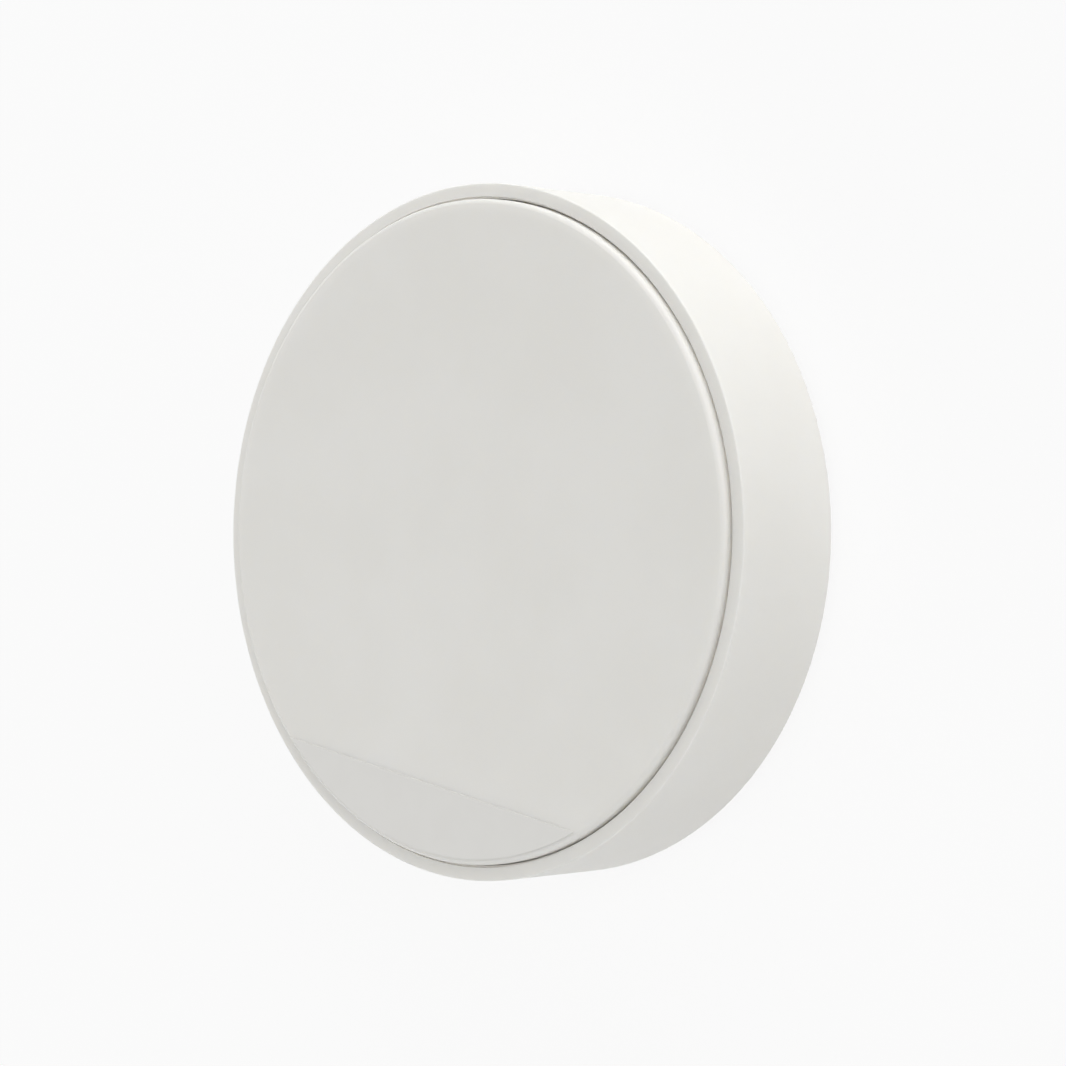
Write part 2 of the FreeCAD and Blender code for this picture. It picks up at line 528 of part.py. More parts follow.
def turned(body, name, corners, kind="Revolution", span=None, out=None):
    """Outline turned about Z, or an axis out towards -Y, all round or over a span."""
    sketch = new_sketch(body, name + "_outline", "XZ_Plane", out)
    draw_outline(sketch, corners)
    feature = add_feature(body, kind, name, sketch)
    feature.ReferenceAxis = (sketch, ["V_Axis"])
    feature.Angle = 360
    if span:
        feature.Midplane = True
        bind(feature, "Angle", span)
    return feature


def raised(body, name, sketch, length):
    """Pad upwards from a level sketch."""
    pad = add_feature(body, "Pad", name, sketch)
    bind(pad, "Length", length)
    return pad


def raised_to(body, name, sketch, low, high):
    """Pad upwards from one level to another."""
    pad = add_feature(body, "Pad", name, sketch)
    pad.setExpression("Length", "Sizes.%s - Sizes.%s" % (high, low))
    return pad


def sunk_to(body, name, sketch, low, high):
    """Pocket upwards from a sketch at the lower of two levels."""
    pocket = add_feature(body, "Pocket", name, sketch)
    pocket.Reversed = True
    pocket.setExpression("Length", "Sizes.%s - Sizes.%s" % (high, low))
    return pocket


def repeated(body, name, features, axis_sketch, count):
    """The same features again round the Z axis."""
    pattern = body.newObject("PartDesign::PolarPattern", body.Name + "_" + name)
    pattern.Originals = features
    pattern.Axis = (axis_sketch, ["V_Axis"])
    pattern.Angle = 360
    if count.isdigit():
        pattern.Occurrences = int(count)
    else:
        bind(pattern, "Occurrences", count)
    body.Tip = pattern
    return pattern


def hoops(feature, wanted):
    """Names of the round edges about Z with a wanted radius and height."""
    doc.recompute()
    found = []
    for place, edge in enumerate(feature.Shape.Edges, start=1):
        if not isinstance(edge.Curve, Part.Circle):
            continue
        centre = edge.Curve.Center
        if abs(centre.x) > MATCH or abs(centre.y) > MATCH:
            continue
        for radius, level in wanted:
            near = abs(edge.Curve.Radius - size(radius)) < MATCH
            if near and abs(centre.z - size(level)) < MATCH:
                found.append("Edge%d" % place)
    return found


def rounded(body, name, feature, wanted, radius):
    """Fillet on round edges."""
    fillet = body.newObject("PartDesign::Fillet", body.Name + "_" + name)
    fillet.Base = (feature, hoops(feature, wanted))
    bind(fillet, "Radius", radius)
    return fillet


def bevelled(body, name, feature, wanted, width):
    """Chamfer on round edges."""
    chamfer = body.newObject("PartDesign::Chamfer", body.Name + "_" + name)
    chamfer.Base = (feature, hoops(feature, wanted))
    bind(chamfer, "Size", width)
    return chamfer


def coiled(body, name, kind, corners, lift, back=None):
    """Outline swept along the door's thread, started back by an angle."""
    sketch = new_sketch(body, name + "_outline", "XZ_Plane")
    draw_outline(sketch, corners)
    if back:
        sketch.AttachmentOffset = Placement(Vector(), Rotation(Vector(0, 1, 0), -1))
        sketch.setExpression("AttachmentOffset.Rotation.Angle", "-Sizes.%s" % back)
    feature = add_feature(body, kind, name, sketch)
    feature.ReferenceAxis = (sketch, ["V_Axis"])
    feature.Mode = "pitch-height-angle"
    bind(feature, "Pitch", "door_lead")
    bind(feature, "Height", lift)
    feature.Angle = 0
    return feature


def make_housing():
    """Side wall, front ring and bulkhead in one moulding."""
    body = new_body("housing")
    shell = turned(body, "shell", [
        ("rear_radius", "foot_gap"),
        ("front_radius", "ring_level"),
        ("recess_radius", "ring_level"),
        ("recess_radius", "groove_ledge"),
        ("guide_radius", "groove_ledge"),
        ("guide_radius", "bulkhead_top"),
        ("membrane_seat_radius", "bulkhead_top"),
        ("membrane_seat_radius", "membrane_seat"),
        ("bulkhead_hole_radius", "membrane_seat"),
        ("bulkhead_hole_radius", "bulkhead_under"),
        ("inner_radius", "bulkhead_under"),
        ("inner_radius", "shoulder_level"),
        ("rabbet_radius", "shoulder_level"),
        ("rabbet_radius", "foot_gap"),
    ])
    axis = shell.Profile[0]
    ring_edge = [("front_radius", "ring_level")]
    rounded(body, "ring_edge", shell, ring_edge, "ring_edge_round")
    rounded(body, "rear_edge", body.Tip, [("rear_radius", "foot_gap")], "rear_edge_round")

    pocket = turned(body, "lug_pocket", [
        ("cover_radius", "bulkhead_top"),
        ("lug_pocket_radius", "bulkhead_top"),
        ("lug_pocket_radius", "lug_pocket_roof"),
        ("cover_radius", "lug_pocket_roof"),
    ], "Groove", "lug_pocket_span")
    repeated(body, "lug_pockets", [pocket], axis, "lug_count")

    shoulder_sketch = new_sketch(body, "shoulder_circle", "XY_Plane", "board_top")
    draw_circle(shoulder_sketch, "0", "-boss_circle", "boss_shoulder_radius")
    shoulder = raised(body, "shoulder", shoulder_sketch, "component_space")
    gusset_sketch = new_sketch(body, "gusset_outline", "XY_Plane", "board_top")
    draw_outline(gusset_sketch, [
        ("-gusset_half", "-inner_radius"),
        ("gusset_half", "-inner_radius"),
        ("gusset_half", "-boss_circle"),
        ("-gusset_half", "-boss_circle"),
    ])
    gusset = raised(body, "gusset", gusset_sketch, "component_space")
    rest_sketch = new_sketch(body, "rest_outline", "XY_Plane", "board_top")
    draw_outline(rest_sketch, [
        ("-rest_half", "rest_inner_radius"),
        ("rest_half", "rest_inner_radius"),
        ("rest_half", "inner_radius"),
        ("-rest_half", "inner_radius"),
    ])
    rest = raised(body, "rest", rest_sketch, "component_space")
    boss_sketch = new_sketch(body, "boss_circle", "XY_Plane", "boss_foot")
    draw_circle(boss_sketch, "0", "-boss_circle", "boss_radius")
    boss = raised_to(body, "boss", boss_sketch, "boss_foot", "bulkhead_under")
    repeated(body, "bosses", [shoulder, gusset, rest, boss], axis, THREEFOLD)
    pilot_sketch = new_sketch(body, "pilot_circle", "XY_Plane", "boss_foot")
    draw_circle(pilot_sketch, "0", "-boss_circle", "pilot_radius")
    pilot = sunk_to(body, "pilot", pilot_sketch, "boss_foot", "pilot_top")
    repeated(body, "pilots", [pilot], axis, THREEFOLD)


def make_front_cover():
    """Front cover, a shallow cap that slides in the front ring."""
    body = new_body("front_cover")
    cap = turned(body, "cap", [
        ("0", "cover_top"),
        ("0", "pip_foot"),
        ("pip_radius", "pip_foot"),
        ("pip_radius", "cover_under"),
        ("cover_hoop_radius", "cover_under"),
        ("cover_hoop_radius", "cover_rib_foot"),
        ("cover_hoop_outer", "cover_rib_foot"),
        ("cover_hoop_outer", "cover_under"),
        ("skirt_inner_radius", "cover_under"),
        ("skirt_inner_radius", "skirt_foot"),
        ("cover_radius", "skirt_foot"),
        ("cover_radius", "crown_edge", "crown_arc"),
        ("crown_radius", "cover_top"),
    ])
    axis = cap.Profile[0]
    rounded(body, "front_edge", cap, [("cover_radius", "crown_edge")], "cover_edge_round")
    lug = turned(body, "lug", [
        ("lug_root_radius", "skirt_foot"),
        ("cover_radius", "skirt_foot"),
        ("lug_radius", "lug_ramp_top"),
        ("lug_radius", "lug_top"),
        ("lug_root_radius", "lug_top"),
    ], "Revolution", "lug_span")
    repeated(body, "lugs", [lug], axis, "lug_count")
    rib_sketch = new_sketch(body, "rib_outline", "XY_Plane", "cover_rib_foot")
    draw_box(rib_sketch, "cover_rib_start", "skirt_inner_radius", "cover_rib_half")
    rib = raised(body, "rib", rib_sketch, "cover_rib_height")
    repeated(body, "ribs", [rib], axis, "cover_rib_count")


def make_label_film():
    """Clear film on the lower edge of the cover, cut along a chord."""
    body = new_body("label_film")
    sketch = new_sketch(body, "outline", "XY_Plane", "cover_top")
    centre = Vector(0, 0, 0)
    rim = Part.Circle(centre, Vector(0, 0, 1), size("film_radius"))
    slope = math.asin(size("film_chord") / size("film_radius"))
    arc = Part.ArcOfCircle(rim, math.pi + slope, 2 * math.pi - slope)
    left = rim.value(math.pi + slope)
    right = rim.value(2 * math.pi - slope)
    edge = sketch.addGeometry(arc, False)
    chord = sketch.addGeometry(Part.LineSegment(right, left), False)
    sketch.addConstraint(Sketcher.Constraint("Coincident", edge, 3, -1, 1))
    sketch.addConstraint(Sketcher.Constraint("Coincident", edge, 2, chord, 1))
    sketch.addConstraint(Sketcher.Constraint("Coincident", chord, 2, edge, 1))
    sketch.addConstraint(Sketcher.Constraint("Horizontal", chord))
    for hold, text in (
        (Sketcher.Constraint("Radius", edge, size("film_radius")), "film_radius"),
        (Sketcher.Constraint("DistanceY", chord, 1, -1, 1, size("film_chord")), "film_chord"),
    ):
        place = sketch.addConstraint(hold)
        bind(sketch, "Constraints[%d]" % place, text)
    raised(body, "film", sketch, "film_thickness")


def make_membrane():
    """Rubber membrane over the switch, with a soft roll round its pad."""
    body = new_body("button_membrane")
    turned(body, "web", [
        ("0", "membrane_stem_foot"),
        ("membrane_stem_radius", "membrane_stem_foot"),
        ("membrane_stem_radius", "membrane_seat"),
        ("hollow_foot_inner", "membrane_seat"),
        ("hollow_crest_inner", "roll_under"),
        ("hollow_crest_outer", "roll_under"),
        ("hollow_foot_outer", "membrane_seat"),
        ("membrane_radius", "membrane_seat"),
        ("membrane_radius", "membrane_top"),
        ("roll_foot_outer", "membrane_top"),
        ("roll_crest_outer", "roll_top"),
        ("roll_crest_inner", "roll_top"),
        ("roll_foot_inner", "membrane_top"),
        ("membrane_pad_foot", "membrane_top"),
        ("membrane_pad_radius", "membrane_pad_top"),
        ("0", "membrane_pad_top"),
    ])


def make_switch():
    """Push switch on the board and the plunger inside it."""
    body = new_body("switch_body")
    square = new_sketch(body, "square", "XY_Plane", "board_top")
    draw_box(square, "-switch_half", "switch_half", "switch_half")
    raised(body, "block", square, "switch_height")
    turned(body, "chamber", [
        ("0", "chamber_floor"),
        ("switch_chamber_radius", "chamber_floor"),
        ("switch_chamber_radius", "chamber_roof"),
        ("switch_bore_radius", "chamber_roof"),
        ("switch_bore_radius", "plunger_top"),
        ("0", "plunger_top"),
    ], "Groove")
    plunger = new_body("switch_plunger")
    turned(plunger, "stem", [
        ("0", "plunger_foot"),
        ("plunger_flange_radius", "plunger_foot"),
        ("plunger_flange_radius", "plunger_flange_top"),
        ("plunger_radius", "plunger_flange_top"),
        ("plunger_radius", "plunger_top"),
        ("0", "plunger_top"),
    ])


def make_status_led():
    """Indicator lamp beside the switch, with its domed lens."""
    body = new_body("status_led")
    base = new_sketch(body, "base_outline", "XY_Plane", "board_top")
    draw_box(base, "led_inner", "led_outer", "led_half")
    raised(body, "base", base, "led_height")
    lens = new_sketch(body, "lens_circle", "XY_Plane", "board_top")
    draw_circle(lens, "led_place", "0", "led_lens_radius")
    dome = add_feature(body, "Pad", "lens", lens)
    dome.setExpression("Length", "Sizes.led_height + Sizes.led_lens_radius")


def make_circuit_board():
    """Round board that hangs on the housing's screw bosses."""
    body = new_body("circuit_board")
    disc = new_sketch(body, "disc", "XY_Plane", "board_under")
    draw_circle(disc, "0", "0", "board_radius")
    raised(body, "blank", disc, "board_thickness")
    boss_sketch = new_sketch(body, "boss_circle", "XY_Plane", "board_under")
    draw_circle(boss_sketch, "0", "-boss_circle", "tower_bore_radius")
    boss_hole = sunk_to(body, "boss_hole", boss_sketch, "board_under", "board_top")
    axis = new_sketch(body, "axis", "XZ_Plane")
    repeated(body, "boss_holes", [boss_hole], axis, THREEFOLD)
    peg_sketch = new_sketch(body, "peg_circle", "XY_Plane", "board_under")
    draw_circle(peg_sketch, "0", "holder_ear_circle", "peg_hole_radius")
    peg_hole = sunk_to(body, "peg_hole", peg_sketch, "board_under", "board_top")
    repeated(body, "peg_holes", [peg_hole], axis, TWOFOLD)


def make_battery_holder():
    """Open ring under the board that centres the coin cell."""
    body = new_body("battery_holder")
    ring = turned(body, "ring", [
        ("holder_inner", "holder_foot"),
        ("holder_outer", "holder_foot"),
        ("holder_outer", "board_under"),
        ("holder_inner", "board_under"),
    ])
    axis = ring.Profile[0]
    ear_sketch = new_sketch(body, "ear_circle", "XY_Plane", "holder_ear_foot")
    draw_circle(ear_sketch, "0", "holder_ear_circle", "holder_ear_radius")
    ear = raised(body, "ear", ear_sketch, "holder_ear_height")
    peg_sketch = new_sketch(body, "peg_circle", "XY_Plane", "board_under")
    draw_circle(peg_sketch, "0", "holder_ear_circle", "holder_peg_radius")
    peg = raised(body, "peg", peg_sketch, "holder_peg_height")
    repeated(body, "ears", [ear, peg], axis, TWOFOLD)
    turned(body, "cell_room", [
        ("0", "holder_foot"),
        ("holder_lead_radius", "holder_foot"),
        ("holder_inner", "holder_lead_top"),
        ("holder_inner", "board_under"),
        ("0", "board_under"),
    ], "Groove")
    window = new_sketch(body, "window_outline", "XY_Plane", "holder_foot")
    draw_box(window, "cell_cap_radius", "holder_ear_circle", "holder_window_half")
    sunk_to(body, "window", window, "holder_foot", "board_under")


def strip(name, corners, width):
    """Sheet metal strip: an outline in the XZ plane with an even width."""
    body = new_body(name)
    sketch = new_sketch(body, "side", "XZ_Plane")
    draw_outline(sketch, corners)
    pad = raised(body, "strip", sketch, width)
    pad.Midplane = True


def make_contacts():
    """Side contact for the can and sprung top contact for the cap."""
    strip("positive_contact", [
        ("side_contact_inner", "side_contact_low"),
        ("side_contact_outer", "side_contact_low"),
        ("side_contact_outer", "contact_foot_level"),
        ("side_contact_end", "contact_foot_level"),
        ("side_contact_end", "board_under"),
        ("side_contact_inner", "board_under"),
    ], "side_contact_width")
    strip("negative_contact", [
        ("-spring_half_length", "contact_foot_level"),
        ("-spring_bend_start", "contact_foot_level"),
        ("-spring_bend_end", "spring_low"),
        ("spring_bend_end", "spring_low"),
        ("spring_bend_start", "contact_foot_level"),
        ("spring_half_length", "contact_foot_level"),
        ("spring_half_length", "board_under"),
        ("spring_bend_start", "board_under"),
        ("spring_bend_end", "spring_low_top"),
        ("-spring_bend_end", "spring_low_top"),
        ("-spring_bend_start", "board_under"),
        ("-spring_half_length", "board_under"),
    ], "spring_width")


def make_coin_cell():
    """Coin cell with its cap towards the board."""
    body = new_body("coin_cell")
    can = turned(body, "can", [
        ("0", "cell_foot"),
        ("cell_radius", "cell_foot"),
        ("cell_radius", "cell_can_top"),
        ("cell_cap_radius", "cell_can_top"),
        ("cell_cap_radius", "cell_top"),
        ("0", "cell_top"),
    ])
    edges = [("cell_radius", "cell_foot"), ("cell_radius", "cell_can_top")]
    bevelled(body, "edges", can, edges, "cell_edge_bevel")


def make_base_plate():
    """Base plate with the threaded collar, screw towers and probe pads."""
    body = new_body("base_plate")
    plate = turned(body, "plate", [
        ("flange_recess_radius", "base_under"),
        ("base_radius", "base_under"),
        ("base_radius", "base_top"),
        ("collar_radius", "base_top"),
        ("collar_radius", "collar_top"),
        ("door_bore_radius", "collar_top"),
        ("door_bore_radius", "land_top"),
        ("land_radius", "land_top"),
        ("land_radius", "flange_seat"),
        ("flange_recess_radius", "flange_seat"),
    ])
    axis = plate.Profile[0]
    bevelled(body, "edge", plate, [("base_radius", "base_under")], "base_edge_chamfer")

    tower_sketch = new_sketch(body, "tower_circle", "XY_Plane", "base_top")
    draw_circle(tower_sketch, "0", "-boss_circle", "tower_radius")
    tower = raised_to(body, "tower", tower_sketch, "base_top", "tower_top")
    rib_sketch = new_sketch(body, "rib_outline", "XY_Plane", "base_top")
    draw_outline(rib_sketch, [
        ("-rib_half", "-boss_circle"),
        ("rib_half", "-boss_circle"),
        ("rib_half", "-door_flange_radius"),
        ("-rib_half", "-door_flange_radius"),
    ])
    rib = raised(body, "rib", rib_sketch, "rib_height")
    pad_sketch = new_sketch(body, "pad_circle", "XY_Plane", "base_top")
    draw_circle(pad_sketch, "0", "probe_circle", "probe_pad_radius")
    pad = raised(body, "pad", pad_sketch, "probe_pad_height")
    repeated(body, "towers", [tower, rib, pad], axis, THREEFOLD)

    holes = []
    for name, centre, radius, low, high in (
        ("boss_bore", "-boss_circle", "tower_bore_radius", "tower_seat", "tower_top"),
        ("screw_hole", "-boss_circle", "screw_hole_radius", "base_under", "tower_seat"),
        ("screw_pocket", "-boss_circle", "screw_pocket_radius", "base_under",
         "screw_pocket_roof"),
        ("probe_pocket", "probe_circle", "probe_pocket_radius", "base_under", "probe_seat"),
        ("probe_hole", "probe_circle", "probe_hole_radius", "base_under",
         "probe_pad_top"),
    ):
        sketch = new_sketch(body, name + "_circle", "XY_Plane", low)
        draw_circle(sketch, "0", centre, radius)
        holes.append(sunk_to(body, name, sketch, low, high))
    repeated(body, "holes", holes, axis, THREEFOLD)

    groove = coiled(body, "groove", "SubtractiveHelix", [
        ("groove_inner_radius", "groove_foot"),
        ("groove_radius", "groove_foot"),
        ("groove_radius", "groove_crest"),
        ("groove_inner_radius", "groove_crest"),
    ], "groove_lift", "groove_back")
    repeated(body, "grooves", [groove], axis, "thread_starts")
    mark_sketch = new_sketch(body, "mark_circle", "XY_Plane", "base_under")
    draw_circle(mark_sketch, "base_mark_circle", "0", "mark_radius")
    mark = add_feature(body, "Pocket", "mark", mark_sketch)
    mark.Reversed = True
    bind(mark, "Length", "mark_depth")


def make_battery_door():
    """Round door with three thread lugs, turned with a coin."""
    body = new_body("battery_door")
    cap = turned(body, "cap", [
        ("0", "base_under"),
        ("door_flange_radius", "base_under"),
        ("door_flange_radius", "flange_top"),
        ("door_skirt_radius", "flange_top"),
        ("door_skirt_radius", "door_skirt_top"),
        ("door_skirt_inner", "door_skirt_top"),
        ("door_skirt_inner", "door_floor_top"),
        ("0", "door_floor_top"),
    ])
    axis = cap.Profile[0]
    rounded(body, "edge", cap, [("door_flange_radius", "base_under")], "door_edge_round")
    lug = coiled(body, "lug", "AdditiveHelix", [
        ("thread_root_radius", "thread_foot"),
        ("thread_radius", "thread_foot"),
        ("thread_radius", "thread_crest"),
        ("thread_root_radius", "thread_crest"),
    ], "thread_lift")
    repeated(body, "lugs", [lug], axis, "thread_starts")
    coin_sketch = new_sketch(body, "coin_circle", "XZ_Plane")
    draw_circle(coin_sketch, "0", "-coin_drop", "coin_radius")
    slot = add_feature(body, "Pocket", "coin_slot", coin_sketch)
    slot.Midplane = True
    bind(slot, "Length", "coin_slot_width")
    mark_sketch = new_sketch(body, "mark_circle", "XY_Plane", "base_under")
    draw_circle(mark_sketch, "mark_circle", "0", "mark_radius")
    mark = add_feature(body, "Pocket", "mark", mark_sketch)
    mark.Reversed = True
    bind(mark, "Length", "mark_depth")


def make_seals():
    """Seal ring on the battery door and gasket round the base plate."""
    ring = doc.addObject("Part::Torus", "door_seal")
    ring.Label = "door_seal"
    bind(ring, "Radius1", "seal_circle")
    bind(ring, "Radius2", "seal_radius")
    bind(ring, "Placement.Base.z", "seal_level")
    pieces.append(ring)
    gasket = new_body("case_seal")
    washer = new_sketch(gasket, "washer", "XY_Plane", "gasket_foot")
    draw_circle(washer, "0", "0", "base_radius")
    draw_circle(washer, "0", "0", "gasket_inner_radius")
    raised(gasket, "band", washer, "gasket_height")


def make_case_screws():
    """Three pan head screws from the back, kept together as one group."""
    body = new_body("case_screws")
    body.AllowCompound = True
    screw = turned(body, "screw", [
        ("0", "screw_head_under"),
        ("screw_face_radius", "screw_head_under"),
        ("screw_head_radius", "screw_crown_top"),
        ("screw_head_radius", "screw_seat"),
        ("screw_radius", "screw_seat"),
        ("screw_radius", "screw_tip"),
        ("0", "screw_tip"),
    ], out="boss_circle")
    bars = []
    for name, across, along in (
        ("bar", "screw_bar_reach", "screw_bar_half"),
        ("cross_bar", "screw_bar_half", "screw_bar_reach"),
    ):
        sketch = new_sketch(body, name + "_outline", "XY_Plane", "screw_head_under")
        bind(sketch, "AttachmentOffset.Base.y", "boss_circle * -1")
        draw_box(sketch, "-" + across, across, along)
        bar = add_feature(body, "Pocket", name, sketch)
        bar.Reversed = True
        bind(bar, "Length", "screw_recess_depth")
        bars.append(bar)
    axis = new_sketch(body, "axis", "XZ_Plane")
    repeated(body, "screws", [screw] + bars, axis, THREEFOLD)


def stand_on_probe_circle(item, angle):
    """Move a piece built on the Z axis out to its probe."""
    item.setExpression("Placement.Base.x", "Sizes.probe_circle * cos(%d deg)" % angle)
    item.setExpression("Placement.Base.y", "Sizes.probe_circle * sin(%d deg)" % angle)


def make_probe_stud(number, angle):
    """Steel probe, whose flat tip is also a foot of the sensor."""
    body = new_body("probe_stud_%d" % number)
    stud = turned(body, "stud", [
        ("0", "0"),
        ("probe_head_radius", "0"),
        ("probe_head_radius", "probe_head_height"),
        ("probe_shank_radius", "probe_head_height"),
        ("probe_shank_radius", "probe_tip"),
        ("0", "probe_tip"),
    ])
    rounded(body, "tip_edge", stud, [("probe_head_radius", "0")], "probe_head_round")
    flat = new_sketch(body, "flat_outline", "XY_Plane")
    draw_box(flat, "probe_flat_half", "probe_pad_radius", "probe_pad_radius")
    cut = add_feature(body, "Pocket", "flat", flat)
    cut.Reversed = True
    bind(cut, "Length", "probe_flat_height")
    repeated(body, "flats", [cut], stud.Profile[0], TWOFOLD)
    stand_on_probe_circle(body, angle)


def make_probe_seal(number, angle):
    """Seal washer between a probe's head and the base plate."""
    body = new_body("probe_seal_%d" % number)
    washer = turned(body, "washer", [
        ("probe_seal_inner", "probe_seal_foot"),
        ("probe_seal_outer", "probe_seal_foot"),
        ("probe_seal_outer", "probe_seal_top"),
        ("probe_seal_inner", "probe_seal_top"),
    ])
    edges = [("probe_seal_outer", "probe_seal_foot"), ("probe_seal_outer", "probe_seal_top")]
    bevelled(body, "edges", washer, edges, "probe_seal_bevel")
    stand_on_probe_circle(body, angle)


def make_probe_spacer(number, angle):
    """Hexagonal brass spacer that a probe screws into, soldered to the board."""
    name = "probe_spacer_%d" % number
    blank = doc.addObject("Part::Prism", name + "_blank")
    blank.Polygon = 6
    bind(blank, "Circumradius", "spacer_corner")
    bind(blank, "Height", "spacer_height")
    bore = doc.addObject("Part::Cylinder", name + "_bore")
    bind(bore, "Radius", "spacer_bore_radius")
    bind(bore, "Height", "spacer_height")
    spacer = doc.addObject("Part::Cut", name)
    spacer.Label = name
    spacer.Base = blank
    spacer.Tool = bore
    bind(spacer, "Placement.Base.z", "spacer_foot")
    stand_on_probe_circle(spacer, angle)
    pieces.append(spacer)


def make_radio_module():
    """Radio module under the board, its metal shield and the antenna above."""
    module = new_body("radio_module")
    outline = new_sketch(module, "outline", "XY_Plane", "module_under")
    draw_box(outline, "module_inner", "module_outer", "module_half")
    raised(module, "blank", outline, "module_thickness")

    shield = new_body("module_shield")
    outline = new_sketch(shield, "outline", "XY_Plane", "shield_under")
    draw_box(outline, "shield_inner", "shield_outer", "shield_half")
    raised(shield, "can", outline, "shield_height")
    room = new_sketch(shield, "room", "XY_Plane", "shield_room_under")
    draw_box(room, "shield_room_inner", "shield_room_outer", "shield_room_half")
    hollow = add_feature(shield, "Pocket", "hollow", room)
    hollow.Reversed = True
    bind(hollow, "Length", "shield_room_height")

    antenna = new_body("chip_antenna")
    outline = new_sketch(antenna, "outline", "XY_Plane", "board_top")
    draw_box(outline, "antenna_inner", "antenna_outer", "antenna_half")
    raised(antenna, "chip", outline, "antenna_height")


def make_capacitor():
    """Reservoir capacitor under the board, a round can on a square base."""
    body = new_body("reservoir_capacitor")
    outline = new_sketch(body, "base_outline", "XY_Plane", "capacitor_base_foot")
    draw_box(outline, "-capacitor_base_outer", "-capacitor_base_inner",
             "capacitor_base_half")
    raised(body, "base", outline, "capacitor_base_height")
    can = new_sketch(body, "can_circle", "XY_Plane", "capacitor_foot")
    draw_circle(can, "-capacitor_place", "0", "capacitor_radius")
    raised(body, "can", can, "capacitor_height")


def check_document():
    """Stop on any feature that failed and on any piece that is not sound."""
    for item in doc.Objects:
        if "Invalid" in item.State or "Error" in item.State:
            raise RuntimeError("%s did not build: %s" % (item.Name, item.State))
    for piece in pieces:
        if piece.Shape.isNull() or not piece.Shape.isValid():
            raise RuntimeError("%s is not a sound solid" % piece.Label)


def write_pieces():
    """Write each piece to a file with its own name."""
    os.makedirs("parts", exist_ok=True)
    for piece in pieces:
        piece.Shape.exportStep("parts/%s.step" % piece.Label)
        solids = len(piece.Shape.Solids)
        print("%-22s %2d solid %10.2f mm3" % (piece.Label, solids, piece.Shape.Volume))


fill_sheet()
make_housing()
make_front_cover()
make_label_film()
make_membrane()
make_switch()
make_status_led()
make_circuit_board()
make_battery_holder()
make_contacts()
make_coin_cell()
make_base_plate()
make_battery_door()
make_seals()
make_case_screws()
for number, angle in enumerate(PROBE_ANGLES, start=1):
    make_probe_stud(number, angle)
    make_probe_seal(number, angle)
    make_probe_spacer(number, angle)
make_radio_module()
make_capacitor()
doc.recompute()
check_document()
write_pieces()
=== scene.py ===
import math

import bmesh
import bpy
from mathutils import Matrix, Vector


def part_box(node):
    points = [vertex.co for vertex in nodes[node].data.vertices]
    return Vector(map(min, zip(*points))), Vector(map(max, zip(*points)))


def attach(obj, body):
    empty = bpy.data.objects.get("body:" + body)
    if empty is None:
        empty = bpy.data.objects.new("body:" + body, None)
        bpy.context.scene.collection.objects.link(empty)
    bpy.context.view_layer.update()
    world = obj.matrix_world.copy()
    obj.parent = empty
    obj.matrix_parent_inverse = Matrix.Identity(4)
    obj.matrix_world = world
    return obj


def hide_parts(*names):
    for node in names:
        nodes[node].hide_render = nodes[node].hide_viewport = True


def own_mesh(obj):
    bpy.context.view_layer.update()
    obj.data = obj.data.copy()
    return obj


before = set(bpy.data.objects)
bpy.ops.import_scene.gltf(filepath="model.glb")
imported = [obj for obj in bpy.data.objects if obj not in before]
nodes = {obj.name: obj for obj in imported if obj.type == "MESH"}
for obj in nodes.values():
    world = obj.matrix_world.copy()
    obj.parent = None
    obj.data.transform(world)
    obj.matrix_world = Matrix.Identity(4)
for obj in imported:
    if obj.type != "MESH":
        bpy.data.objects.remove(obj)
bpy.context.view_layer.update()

# Photograph's frame, in its pixels and in metres
IMAGE_SIDE = 1066
RING_PIXEL = (464.73, 531.89)
RING_DEPTH = 0.2483
SENSOR_WIDTH = 36.0
LENS = 84.10
SWING, TILT, ROLL = -41.65, -0.298, -9.89

# Colours, linear
SHELL = (0.84, 0.831, 0.798)
SHELL_DULL = (0.825, 0.815, 0.779)
FILM = (0.79, 0.782, 0.753)
FILM_DULL = (0.78, 0.771, 0.742)
# Painted light: a paler colour on the groove walls round the cover, lifting the groove's shade
GROOVE_PAINTED_LIGHT = (0.96, 0.935, 0.895)
BASE = (0.825, 0.817, 0.788)
BASE_DULL = (0.805, 0.796, 0.764)
SKY_WHITE = (0.956, 0.956, 0.956)
GROUND_WHITE = (0.99, 0.99, 0.99)
GROUND_CLOTH = (0.9, 0.9, 0.9)

# Light: levels overhead and below, then broad soft lights by azimuth, elevation and strength
SKY_ZENITH = 0.08
SKY_NADIR = 0.8
SOFT_LIGHTS = ((30, 70, 1.8), (30, 0, 3.1), (99, 0, 4.9), (-90, 0, 2.5), (-150, 20, 1.9))
SOFT_LIGHT_TIGHTNESS = 8.0
HORIZON_BLUR = 0.02

# Floor: share of plain white in it, and its radii in metres
GROUND_GLOW = 0.88
GROUND_WINDOW = 0.033
GROUND_NEAR = 0.2
GROUND_FAR = 1.5

# Facets round a turned mesh
AROUND = 96

# Button membrane, in metres
PAD_TOP_RADIUS = 0.0024
PAD_FOOT_RADIUS = 0.0032
ROLL_CIRCLE = 0.0052
ROLL_HALF = 0.00095
ROLL_HEIGHT = 0.0004
STEM_RADIUS = 0.0014
STEM_FILLET = 0.0004
WEB_UNDER = 0.0119
WEB_TOP = 0.01235

# Groove round the cover, in metres: its walls are painted paler as painted light, beginning at
# the lip and fading below the foot
GROOVE_RADIUS = 0.0332
GROOVE_REACH = 0.0008
GROOVE_LIP = 0.0001
GROOVE_FOOT = 0.0021
GROOVE_END = 0.003

# Board: share of its thickness that the solder mask hides at each face
BOARD_SKIN = 0.06

